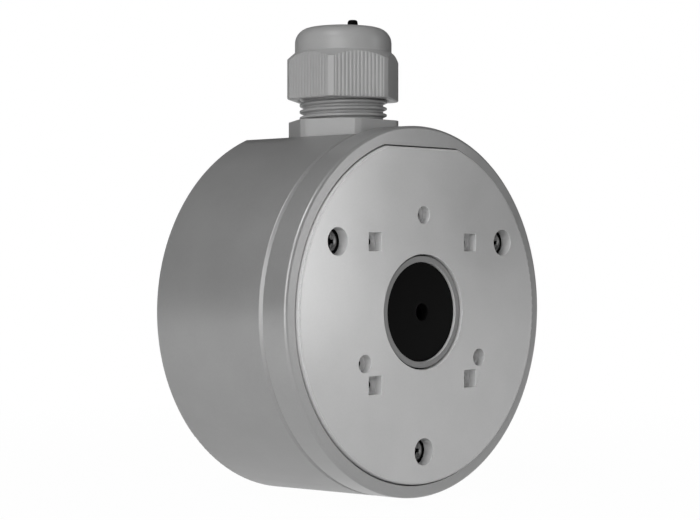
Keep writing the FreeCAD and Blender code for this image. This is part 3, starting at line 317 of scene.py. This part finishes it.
def paint_bores(mesh, material, places, radius, mouth, end):
    """Gives a further material to the faces of bores that run along the depth: a rougher
    paint, painted shade, or a painted highlight, as each bore gives it.

    A face is in a bore if its middle is nearer than the radius to a bore's axis, and
    its depth in front of the wall lies between the bore's end and its mouth.
    """
    mesh.materials.append(material)
    middles = np.empty(len(mesh.polygons) * 3, np.float32)
    mesh.polygons.foreach_get("center", middles)
    middles = middles.reshape(-1, 3) / MM
    inside = np.zeros(len(middles), bool)
    for across, up in places:
        inside |= np.hypot(middles[:, 0] - across, middles[:, 2] - up) < radius
    inside &= (-middles[:, 1] < mouth) & (-middles[:, 1] > end)
    slots = np.empty(len(mesh.polygons), np.int32)
    mesh.polygons.foreach_get("material_index", slots)
    slots[inside] = len(mesh.materials) - 1
    mesh.polygons.foreach_set("material_index", slots)


def add_piece(name, mesh, body, node, rounding=0.0, bores=()):
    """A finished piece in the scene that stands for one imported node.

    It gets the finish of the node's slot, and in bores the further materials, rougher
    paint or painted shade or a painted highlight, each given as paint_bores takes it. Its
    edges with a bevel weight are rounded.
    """
    slot = slot_of[node]
    mesh.materials.append(finishes[slot])
    for bore in bores:
        paint_bores(mesh, *bore)
    piece = bpy.data.objects.new(name, mesh)
    bpy.context.scene.collection.objects.link(piece)
    if rounding:
        bevel = piece.modifiers.new("edge_rounding", "BEVEL")
        bevel.width = rounding * MM
        bevel.segments = BEVEL_STEPS
        bevel.limit_method = "WEIGHT"
        bevel.use_clamp_overlap = False
        bevel.miter_outer = "MITER_ARC"
    piece.modifiers.new("flat_faces", "WEIGHTED_NORMAL").keep_sharp = True
    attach(piece, body)
    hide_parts(node)


# Castings

SHARP_ANGLE = math.radians(35)
FACET_ANGLE = math.radians(18)
FLAT_ANGLE = math.radians(0.5)
CORNER_JOIN = 2e-6
SLIVER = 1e-6


def joined_mesh(name, node, rounded):
    """A node's triangles with their corners joined and their flat faces merged.

    Where rounded(x, y, z) holds for an edge's middle, it gets a bevel weight if it
    turns by more than the sharp angle. Elsewhere it is kept sharp if it turns by more
    than the facet angle.
    """
    source = nodes[node].data
    places = np.empty(len(source.vertices) * 3, np.float32)
    source.vertices.foreach_get("co", places)
    corners = np.empty(len(source.loops), np.int32)
    source.loops.foreach_get("vertex_index", corners)
    mesh = bpy.data.meshes.new(name)
    mesh.from_pydata(places.reshape(-1, 3).tolist(), [], corners.reshape(-1, 3).tolist())
    work = bmesh.new()
    work.from_mesh(mesh)
    bmesh.ops.remove_doubles(work, verts=work.verts, dist=CORNER_JOIN)
    bmesh.ops.dissolve_degenerate(work, edges=work.edges, dist=SLIVER)
    bmesh.ops.dissolve_limit(work, angle_limit=FLAT_ANGLE, verts=work.verts,
                             edges=work.edges)
    weight = work.edges.layers.float.new("bevel_weight_edge")
    for face in work.faces:
        face.smooth = True
    for edge in work.edges:
        if len(edge.link_faces) != 2:
            continue
        turn = edge.calc_face_angle()
        if rounded(*(edge.verts[0].co + edge.verts[1].co) / 2 / MM):
            edge[weight] = float(turn > SHARP_ANGLE)
        else:
            edge.smooth = turn < FACET_ANGLE
    work.to_mesh(mesh)
    work.free()
    return mesh


CAMERA_CIRCLE = 28.65
SQUARE_SPACING = 41.3
CAMERA_HOLE = 1.25
HOLE_MARGIN = 0.06
HOLE_MOUTH = PLATE_FACE - 3.25
BOSS_BACK = PLATE_FACE - 6.4
COUNTERBORE = 4.6
SCREW_FLOOR = -extent("plate_screw_right")[0][1] - 2.4
BUSH_SEAT = 17.0
BUSH_SEAT_MOUTH = BUSH_FACE - 1.2
FACE_SKIN = 0.01
BEHIND_WALL = -1.0
PLATE_RADIUS = extent("mounting_plate")[1][0]
PLATE_CHORD = extent("mounting_plate")[1][2]
PLATE_MARGIN = 1.0
OUTLINE_BAND = 1.5
BACK_BAND = 1.0
HOUSING_ROUNDING = 0.2
RING_ROUNDING = 0.15
PLATE_ROUNDING = 0.12
SCREWS = ("right", "left", "bottom")
CENTRE_LINE = [(0.0, 0.0)]
round_turns = np.radians([90.0, 210.0, 330.0])
camera_holes = [(CAMERA_CIRCLE * math.cos(a), CAMERA_CIRCLE * math.sin(a))
                for a in round_turns]
camera_holes += [(across * SQUARE_SPACING / 2, up * SQUARE_SPACING / 2)
                 for across in (-1, 1) for up in (-1, 1)]
screw_places = [tuple(middle("plate_screw_" + place)[[0, 2]]) for place in SCREWS]


def before_back_rim(across, depth, up):
    """True away from the housing's back rim, whose rounding is in the node's mesh."""
    return depth < -BACK_BAND


def everywhere(across, depth, up):
    """True at every place."""
    return True


def inside_outline(across, depth, up):
    """True away from the plate's outline, whose rounding is in the node's mesh."""
    return (math.hypot(across, up) < PLATE_RADIUS - OUTLINE_BAND
            and up < PLATE_CHORD - OUTLINE_BAND)


# Behind its face the plate gets a rougher paint. The camera holes, the screw counterbores
# and the bush seat get the near-black painted shade.
plate_bores = [
    (recess_paint, CENTRE_LINE, PLATE_RADIUS + PLATE_MARGIN, PLATE_FACE - FACE_SKIN,
     BEHIND_WALL),
    (painted_bore_shade, camera_holes, CAMERA_HOLE + HOLE_MARGIN, HOLE_MOUTH, BOSS_BACK),
    (painted_bore_shade, screw_places, COUNTERBORE, SCREW_FLOOR, BEHIND_WALL),
    (painted_bore_shade, CENTRE_LINE, BUSH_SEAT, BUSH_SEAT_MOUTH, BEHIND_WALL),
]
for name, node, rounding, rounded, bores in (
        ("housing_casting", "rear_housing", HOUSING_ROUNDING, before_back_rim, ()),
        ("ring_casting", "front_ring", RING_ROUNDING, everywhere, ()),
        ("plate_casting", "mounting_plate", PLATE_ROUNDING, inside_outline, plate_bores)):
    add_piece(name, joined_mesh(name, node, rounded), "box", node, rounding, bores)


# Cable gland

HEX_HALF = math.radians(30)


def hexagon_columns(apothem, limit, first, per_side, per_corner, relief=None):
    """Angles and radii of columns round a hexagon with trimmed corners.

    On a flat, the column at the distance s along it has the bearing a with
    tan a = s / apothem, and the radius (apothem - relief(s)) / cos a. Round a
    corner, the radius is the limit.
    """
    run = math.sqrt(limit ** 2 - apothem ** 2)
    along = np.linspace(-run, run, per_side)
    depth = relief(along, run) if relief else 0 * along
    bearings = np.arctan2(along, apothem)
    radii = (apothem - depth) / np.cos(bearings)
    corner = np.linspace(bearings[-1], 2 * HEX_HALF - bearings[-1], per_corner + 2)[1:-1]
    side_angles = np.concatenate([bearings, corner])
    side_radii = np.concatenate([radii, np.full(per_corner, limit)])
    turns = first + 2 * HEX_HALF * np.arange(6)
    angles = (turns[:, None] + side_angles).ravel()
    return angles, np.tile(side_radii, 6)


NUT_APOTHEM = 15.8
NUT_CORNER = 17.70
NUT_HEIGHT = 22.85
NUT_WALL = 12.3
NUT_FIRST = math.radians(62.7)
CONE_SLOPE = math.tan(math.radians(41.0))
RIBS = 13
RIB_DEPTH = 0.16
RIB_END = 0.2
RIB_STEPS = 8
DOME_RADIUS = 14.9
DOME_ROUND = 4.7
DOME_CROWN = 0.5
NUT_CHAMFER = 0.35
NUT_EDGE = 0.12
WALL_EDGE = 0.15
INNER_EDGE = 0.2
LIP_EDGE = 0.25
MOUTH = 9.1
# Radius beyond the mouth's, and depth below the dome's top
MOUTH_LIP = [(0.1, 0.3), (0.0, 0.5), (-0.3, 1.2)]
# Radius, and height above the nut's foot, of its inside below the mouth
NUT_INSIDE = [(MOUTH - 0.3, 18.3), (10.6, 17.7), (12.0, 11.6), (13.75, 11.2),
              (13.75, 0.8), (14.3, 0.0)]


def rib_relief(along, run):
    """Depth of the grooves between the ribs on a flat.

    With n ribs and s from 0 to 1 along the flat, it is the rib depth times
    (0.5 + 0.5 cos 2 pi n s) squared, which keeps the crests broad.
    """
    share = (along + run - RIB_END) / (2 * (run - RIB_END))
    wave = 0.5 + 0.5 * np.cos(TURN * RIBS * np.clip(share, 0, 1))
    return RIB_DEPTH * wave ** 2 * ((share >= 0) & (share <= 1))


def make_gland_nut():
    """Cap nut: ribbed hexagon, cone, domed top, mouth and bore.

    In each column the wall of radius R ends where the cone meets it, at the height
    wall + (corner - R) slope, and everything else is the same turned profile.
    """
    angles, radii = hexagon_columns(NUT_APOTHEM, NUT_CORNER, NUT_FIRST,
                                    per_side=RIBS * RIB_STEPS + 1, per_corner=8,
                                    relief=rib_relief)
    z = NUT_FOOT
    top = z + NUT_HEIGHT
    wall_top = z + NUT_WALL + (NUT_CORNER - radii) * CONE_SLOPE
    cone_end = z + NUT_WALL + (NUT_CORNER - DOME_RADIUS) * CONE_SLOPE
    arc = np.linspace(0, math.pi / 2, 9)
    shoulder_r = DOME_RADIUS - DOME_ROUND + DOME_ROUND * np.cos(arc)
    shoulder_z = top - DOME_CROWN - DOME_ROUND + DOME_ROUND * np.sin(arc)
    dome = list(zip(shoulder_r, shoulder_z))
    fixed = ([(DOME_RADIUS, cone_end)] + dome
             + [(MOUTH + beyond, top - below) for beyond, below in MOUTH_LIP]
             + [(radius, z + rise) for radius, rise in NUT_INSIDE])
    rounds = ([NUT_EDGE, NUT_EDGE, WALL_EDGE, NUT_EDGE] + [0.0] * len(dome)
              + [INNER_EDGE, LIP_EDGE] + [INNER_EDGE] * (len(NUT_INSIDE) + 1))
    outer = np.stack([
        np.stack([radii - NUT_CHAMFER, np.full_like(radii, z)], -1),
        np.stack([radii, np.full_like(radii, z + NUT_CHAMFER)], -1),
        np.stack([radii, wall_top], -1),
    ], axis=1)
    inner = np.broadcast_to(np.array(fixed), (len(angles), len(fixed), 2))
    profile = soft_profile(np.concatenate([outer, inner], axis=1), rounds, steps=4)
    return grid_mesh("gland_cap", turned(profile, angles, centre=GLAND_AXIS))


BASE_APOTHEM = 15.5
BASE_CORNER = 17.25
BASE_HEIGHT = 5.7
THREAD_CREST = 13.45
THREAD_ROOT = 12.3
THREAD_PITCH = 2.0
THREAD_START = 0.45
CREST_WIDTH = 0.5
FLANK = 0.6
THREAD_FADE = 0.5
THREAD_ROWS = 170
BASE_EDGE = 0.08
FOOT_CHAMFER = 0.2
TOP_CHAMFER = 0.15
ENTRY_ROOT = 11.6
ENTRY_RIDGE = 0.75
ENTRY_ROWS = 60
BORE = 9.6
BORE_CHAMFER = 0.3
SEAL_SEAT = 11.3
SEAL_SEAT_DEPTH = 3.0
SEAT_LIP = 0.05
SEAT_BEVEL = 0.2


def thread_height(angles, height, low, high):
    """Share of the thread's depth at each angle and height, from 0 to 1.

    The ridge's middle climbs one pitch a turn. The share falls from 1 beside the
    crest to 0 over a flank, and fades in and out near the ends of the thread.
    """
    phase = (height / THREAD_PITCH - angles[:, None] / TURN + THREAD_START) % 1.0
    away = np.abs(phase - 0.5) * THREAD_PITCH
    share = np.clip((FLANK + CREST_WIDTH / 2 - away) / FLANK, 0, 1)
    share = share * share * (3 - 2 * share)
    fade = np.clip(np.minimum(height - low, high - height) / THREAD_FADE, 0, 1)
    return share * fade


def make_gland_body():
    """Hexagonal base with two threaded spigots, the upper one a true helix."""
    angles, radii = hexagon_columns(BASE_APOTHEM, BASE_CORNER, HEX_HALF,
                                    per_side=17, per_corner=5)
    z = BASE_FOOT
    top = z + BASE_HEIGHT
    base = np.stack([
        np.stack([radii - FOOT_CHAMFER, np.full_like(radii, z)], -1),
        np.stack([radii, np.full_like(radii, z + FOOT_CHAMFER)], -1),
        np.stack([radii, np.full_like(radii, top - TOP_CHAMFER)], -1),
        np.stack([radii - TOP_CHAMFER, np.full_like(radii, top)], -1),
    ], axis=1)
    base = soft_profile(base, BASE_EDGE, steps=4)[:, 2:-2]
    rise = np.linspace(top, GLAND_TOP, THREAD_ROWS)
    share = thread_height(angles, rise[None, :], top, GLAND_TOP)
    thread = np.stack([THREAD_ROOT + (THREAD_CREST - THREAD_ROOT) * share,
                       np.broadcast_to(rise, share.shape)], -1)
    foot_rise = np.linspace(GLAND_FOOT, z, ENTRY_ROWS)
    foot_share = thread_height(angles, foot_rise[None, :], GLAND_FOOT, z)
    foot = np.stack([ENTRY_ROOT + ENTRY_RIDGE * foot_share,
                     np.broadcast_to(foot_rise, foot_share.shape)], -1)
    inside = np.array([(SEAL_SEAT + SEAT_LIP, GLAND_TOP - SEAT_LIP),
                       (SEAL_SEAT, GLAND_TOP - SEAT_BEVEL),
                       (SEAL_SEAT, GLAND_TOP - SEAL_SEAT_DEPTH),
                       (BORE, GLAND_TOP - SEAL_SEAT_DEPTH),
                       (BORE, GLAND_FOOT + BORE_CHAMFER),
                       (BORE + BORE_CHAMFER, GLAND_FOOT)])
    inside = np.broadcast_to(inside, (len(angles), len(inside), 2))
    profile = np.concatenate([foot, base, thread, inside], axis=1)
    return grid_mesh("gland_spigot", turned(profile, angles, centre=GLAND_AXIS))


add_piece("gland_cap", make_gland_nut(), "gland_cap", "gland_nut")
add_piece("gland_spigot", make_gland_body(), "box", "gland_body")


# Bush and plug

BUSH_RADIUS = 16.6
BUSH_INNER = 14.8
BUSH_FLANGE = 1.3
BARREL_RADIUS = 15.7
BORE_MARGIN = 0.05
PAST_ENDS = 1.0
PLUG_RADIUS = 14.7
PLUG_HOLE = 2.5
PLUG_CROWN = 0.7
PLUG_WEB = 2.3
PLUG_RIM = 2.4
BUSH_EDGES = [0.2, 0.2, 0.1, 0.15, 0.25, 0.2]
PLUG_EDGES = [0.2] + [0.0] * 7 + [0.2, 0.05, 0.2, 0.3, 0.3, 0.5, 0.3]
CROWN_STEPS = 9
ROUND_STEPS = np.linspace(0, TURN, 192, endpoint=False)


def make_bush():
    """Flanged bush: a turned profile with softened corners."""
    profile = soft_profile([
        (BUSH_INNER, BUSH_BACK), (BARREL_RADIUS, BUSH_BACK),
        (BARREL_RADIUS, BUSH_FACE - BUSH_FLANGE), (BUSH_RADIUS, BUSH_FACE - BUSH_FLANGE),
        (BUSH_RADIUS, BUSH_FACE), (BUSH_INNER, BUSH_FACE)], BUSH_EDGES)
    return grid_mesh("cable_bush", turned(profile, ROUND_STEPS, axis="y"))


def make_plug():
    """Rubber plug: a thin crowned web with a hole, a thick rim and a snap lip.

    Over the web the face rises by the crown times (1 - s^2), with s from 0 at the
    hole to 1 at the edge.
    """
    edge = PLUG_FACE - PLUG_CROWN
    share = np.linspace(0, 1, CROWN_STEPS)[1:]
    crowned = list(zip(PLUG_HOLE + (PLUG_RADIUS - PLUG_HOLE) * share,
                       edge + PLUG_CROWN * (1 - share ** 2)))
    profile = soft_profile([(PLUG_HOLE, PLUG_FACE)] + crowned + [
        (PLUG_RADIUS, BUSH_BACK), (BARREL_RADIUS + 0.1, BUSH_BACK),
        (BARREL_RADIUS, PLUG_BACK), (PLUG_RADIUS - PLUG_RIM, PLUG_BACK),
        (PLUG_RADIUS - PLUG_RIM, edge - PLUG_WEB), (PLUG_HOLE, edge - PLUG_WEB)],
        PLUG_EDGES)
    return grid_mesh("bush_plug", turned(profile, ROUND_STEPS, axis="y"))


# The bush's bore gets the lighter copy of its plastic, a painted highlight.
painted_bore_light = (painted_bore_highlight, CENTRE_LINE, BUSH_INNER + BORE_MARGIN,
              BUSH_FACE + PAST_ENDS, BUSH_BACK - PAST_ENDS)
add_piece("cable_bush", make_bush(), "box", "cable_hole_bush", bores=[painted_bore_light])
add_piece("bush_plug", make_plug(), "box", "centre_plug")


# Small pieces

PIN_RADIUS = 1.6
PIN_HEAD_RADIUS = 2.6
PIN_HEAD_HEIGHT = 2.6
PIN_ROUND = 1.3
GROMMET_RADIUS = 9.0
GROMMET_NECK = 6.95
GROMMET_HOLE = 4.0
GROMMET_FLANGE = 1.0
GROMMET_LIP = 1.4
PIN_EDGES = [0, 0.4, 0.4, 0.2, PIN_ROUND, 0]
GROMMET_EDGES = [0.4, 0.45, 0.1, 0.1, 0.1, 0.2, 0.3, 0.4]
SMALL_STEPS = np.linspace(0, TURN, 96, endpoint=False)


def make_pin():
    """Blanking pin: a turned profile from the foot of its head to its round tip."""
    profile = soft_profile([
        (0, PIN_FOOT), (PIN_HEAD_RADIUS, PIN_FOOT),
        (PIN_HEAD_RADIUS, PIN_FOOT + PIN_HEAD_HEIGHT),
        (PIN_RADIUS, PIN_FOOT + PIN_HEAD_HEIGHT), (PIN_RADIUS, PIN_TOP), (0, PIN_TOP)],
        PIN_EDGES, steps=8)
    return grid_mesh("gland_pin", turned(profile, SMALL_STEPS, centre=PIN_AXIS),
                     round_v=False)


def make_grommet():
    """Wall grommet: a turned profile of flange, neck and inner lip."""
    neck_out = GROMMET_OUTSIDE + GROMMET_FLANGE
    neck_in = GROMMET_INSIDE - GROMMET_LIP
    profile = soft_profile([
        (GROMMET_HOLE, GROMMET_OUTSIDE), (GROMMET_RADIUS, GROMMET_OUTSIDE),
        (GROMMET_RADIUS, neck_out), (GROMMET_NECK, neck_out), (GROMMET_NECK, neck_in),
        (GROMMET_RADIUS, neck_in), (GROMMET_RADIUS - GROMMET_LIP / 2, GROMMET_INSIDE),
        (GROMMET_HOLE, GROMMET_INSIDE)], GROMMET_EDGES)
    return grid_mesh("entry_grommet", turned(profile, SMALL_STEPS, axis="y",
                                             centre=(0.0, GROMMET_UP)))


HEAD_RADIUS = 3.2
HEAD_HEIGHT = 2.9
HEAD_ROUND = 0.7
SHANK_RADIUS = 2.0
TIP_BEVEL = 0.8
CROSS_REACH = 1.95
CROSS_ARM = 0.6
CROSS_DEPTH = 1.4
CROSS_POWER = 0.85
DISH_RADIUS = 2.4
DISH_DEPTH = 0.5
WALL_WIDTH = 0.15
DISH_WIDTH = 3 * WALL_WIDTH
HEAD_CENTRE = 0.06
HEAD_ROWS = 44


def cross_recess(across, up):
    """Depth of the driver recess at a place on the head, from the head's centre.

    The recess is where (|x|/R)^p + (|y|/R)^p is under 1, together with two straight
    arms, inside a shallow cone. Its walls fall over the wall width.
    """
    across, up = np.abs(across), np.abs(up)
    star = (across / CROSS_REACH) ** CROSS_POWER + (up / CROSS_REACH) ** CROSS_POWER
    arm = np.minimum((CROSS_ARM - np.minimum(across, up)),
                     (CROSS_REACH - np.maximum(across, up))) / WALL_WIDTH
    walls = np.clip(np.maximum((1 - star) / WALL_WIDTH, arm), 0, 1)
    dish = np.clip((DISH_RADIUS - np.hypot(across, up)) / DISH_WIDTH, 0, 1)
    return np.maximum(CROSS_DEPTH * walls, DISH_DEPTH * dish)


def make_screw(name, node):
    """Pan-head screw with a driver recess, along the depth.

    The head's top is a grid over radius and angle whose depth is that of the recess,
    and the same columns run on down its side and its shank.
    """
    low, high = extent(node)
    head, tip = -low[1], -high[1]
    centre = middle(node)[[0, 2]]
    radius = np.concatenate([[0.0], np.linspace(HEAD_CENTRE, HEAD_RADIUS - HEAD_ROUND,
                                                  HEAD_ROWS)])
    across = radius * np.cos(SMALL_STEPS)[:, None]
    up = radius * np.sin(SMALL_STEPS)[:, None]
    top = np.stack([np.broadcast_to(radius, across.shape),
                    head - cross_recess(across, up)], -1)
    arc = np.linspace(0, math.pi / 2, 6)[1:]
    seat = head - HEAD_HEIGHT
    side = list(zip(HEAD_RADIUS - HEAD_ROUND + HEAD_ROUND * np.sin(arc),
                    head - HEAD_ROUND + HEAD_ROUND * np.cos(arc)))
    side += [(HEAD_RADIUS, seat), (SHANK_RADIUS, seat), (SHANK_RADIUS, tip + TIP_BEVEL),
             (SHANK_RADIUS - TIP_BEVEL, tip), (0.0, tip)]
    side = np.broadcast_to(np.array(side), (len(SMALL_STEPS), len(side), 2))
    points = turned(np.concatenate([top, side], axis=1), SMALL_STEPS, axis="y",
                    centre=centre)
    return grid_mesh(name, points, round_v=False)


add_piece("gland_pin", make_pin(), "gland_insert", "gland_blanking_pin")
add_piece("entry_grommet", make_grommet(), "box", "wall_grommet")
for place, centre in zip(SCREWS, screw_places):
    name, node = "plate_fixing_" + place, "plate_screw_" + place
    head = -extent(node)[0][1]
    # The driver recess is painted near-black, painted shade in the recess.
    painted_cross_shade = (painted_bore_shade, [centre], CROSS_REACH, head - CROSS_DEPTH / 2,
                  head - CROSS_DEPTH - FACE_SKIN)
    add_piece(name, make_screw(name, node), "box", node, bores=[painted_cross_shade])


# Floor and background

FLOOR_HALF = 3.0
FLOOR_TONE = 0.75
FLOOR_ROUGHNESS = 0.9
FLOOR_SPECULAR = 0.1
FLOOR_WHITE = 0.985
FLOOR_NEAR, FLOOR_FAR = 0.1, 0.35
AMBIENT = 0.054


def make_floor():
    """A level pale floor under the lowest point of the box.

    To the camera and to reflections it is nearly white, and white from the far
    distance on, so that it keeps only a faint shadow of the box.
    """
    corners = [(-FLOOR_HALF, -FLOOR_HALF), (FLOOR_HALF, -FLOOR_HALF),
               (FLOOR_HALF, FLOOR_HALF), (-FLOOR_HALF, FLOOR_HALF)]
    mesh = bpy.data.meshes.new("pale_floor")
    mesh.from_pydata([(x, y, cad_low[2]) for x, y in corners], [], [(0, 1, 2, 3)])
    floor = bpy.data.objects.new("pale_floor", mesh)
    bpy.context.scene.collection.objects.link(floor)
    material = bpy.data.materials.new("pale_floor")
    material.use_nodes = True
    tree = material.node_tree
    shader = tree.nodes["Principled BSDF"]
    shader.inputs["Base Color"].default_value = [FLOOR_TONE] * 3 + [1.0]
    shader.inputs["Roughness"].default_value = FLOOR_ROUGHNESS
    shader.inputs["Specular IOR Level"].default_value = FLOOR_SPECULAR
    white = tree.nodes.new("ShaderNodeEmission")
    path = tree.nodes.new("ShaderNodeLightPath")
    seen = math_node(tree, "MAXIMUM", path.outputs["Is Camera Ray"],
                     path.outputs["Is Glossy Ray"])
    seen = math_node(tree, "MAXIMUM", seen, path.outputs["Is Transmission Ray"])
    mix = tree.nodes.new("ShaderNodeMixShader")
    place = tree.nodes.new("ShaderNodeTexCoord").outputs["Object"]
    reach = tree.nodes.new("ShaderNodeVectorMath")
    reach.operation = "LENGTH"
    tree.links.new(place, reach.inputs[0])
    share = tree.nodes.new("ShaderNodeMapRange")
    tree.links.new(reach.outputs["Value"], share.inputs["Value"])
    for title, value in (("From Min", FLOOR_NEAR), ("From Max", FLOOR_FAR),
                         ("To Min", FLOOR_WHITE), ("To Max", 1.0)):
        share.inputs[title].default_value = value
    tree.links.new(math_node(tree, "MULTIPLY", seen, share.outputs["Result"]),
                   mix.inputs["Fac"])
    tree.links.new(shader.outputs["BSDF"], mix.inputs[1])
    tree.links.new(white.outputs["Emission"], mix.inputs[2])
    tree.links.new(mix.outputs["Shader"], tree.nodes["Material Output"].inputs["Surface"])
    mesh.materials.append(material)


def make_world():
    """A world that is white to the camera and gives a low even light to the box."""
    world = bpy.data.worlds.new("studio")
    bpy.context.scene.world = world
    world.use_nodes = True
    tree = world.node_tree
    ambient = tree.nodes["Background"]
    ambient.inputs["Color"].default_value = (1.0, 1.0, 1.0, 1.0)
    ambient.inputs["Strength"].default_value = AMBIENT
    white = tree.nodes.new("ShaderNodeBackground")
    white.inputs["Color"].default_value = (1.0, 1.0, 1.0, 1.0)
    white.inputs["Strength"].default_value = 1.0
    path = tree.nodes.new("ShaderNodeLightPath")
    mix = tree.nodes.new("ShaderNodeMixShader")
    tree.links.new(path.outputs["Is Camera Ray"], mix.inputs["Fac"])
    tree.links.new(ambient.outputs["Background"], mix.inputs[1])
    tree.links.new(white.outputs["Background"], mix.inputs[2])
    tree.links.new(mix.outputs["Shader"], tree.nodes["World Output"].inputs["Surface"])


# Lights and camera

FOCAL_LENGTH = 92.44
CAMERA_PLACE = (-0.3917, -0.4145, 0.0164)
CAMERA_DIP, CAMERA_BEARING = 0.113, -45.127
CENTRE = (0.0, -0.03, 0.01)
# name, bearing and height in degrees, distance, width, height, power
LIGHTS = [
    ("tall_strip", -52.3, 0.0, 1.2, 0.21, 1.3, 3.05),
    ("high_left_box", -165.0, 50.0, 1.2, 0.5, 0.5, 4.95),
    ("wall_left_box", 160.0, 25.0, 1.2, 0.5, 0.5, 0.2),
    ("near_left_box", -150.0, 5.0, 0.45, 0.3, 0.4, 1.2),
]


def make_light(name, bearing, height, distance, across, up, power):
    """A soft box at a bearing and height seen from the box, aimed at its centre."""
    bearing, height = math.radians(bearing), math.radians(height)
    away = np.array([math.cos(height) * math.cos(bearing),
                     math.cos(height) * math.sin(bearing), math.sin(height)])
    lamp = bpy.data.lights.new(name, "AREA")
    lamp.shape = "RECTANGLE"
    lamp.size = across
    lamp.size_y = up
    lamp.energy = power
    lamp_object = bpy.data.objects.new(name, lamp)
    lamp_object.location = np.array(CENTRE) + away * distance
    lamp_object.rotation_euler = (math.pi / 2 - height, 0.0, bearing + math.pi / 2)
    bpy.context.scene.collection.objects.link(lamp_object)


def make_camera():
    """The photograph's viewpoint: level with the box, from its front left."""
    lens = bpy.data.cameras.new("camera")
    lens.sensor_width = 36.0
    lens.lens = FOCAL_LENGTH
    lens.clip_start = 0.01
    camera = bpy.data.objects.new("camera", lens)
    camera.location = CAMERA_PLACE
    camera.rotation_euler = (math.radians(90 - CAMERA_DIP), 0.0,
                             math.radians(CAMERA_BEARING))
    bpy.context.scene.collection.objects.link(camera)
    bpy.context.scene.camera = camera


make_floor()
make_world()
for light in LIGHTS:
    make_light(*light)
make_camera()
bpy.context.scene.view_settings.view_transform = "Standard"
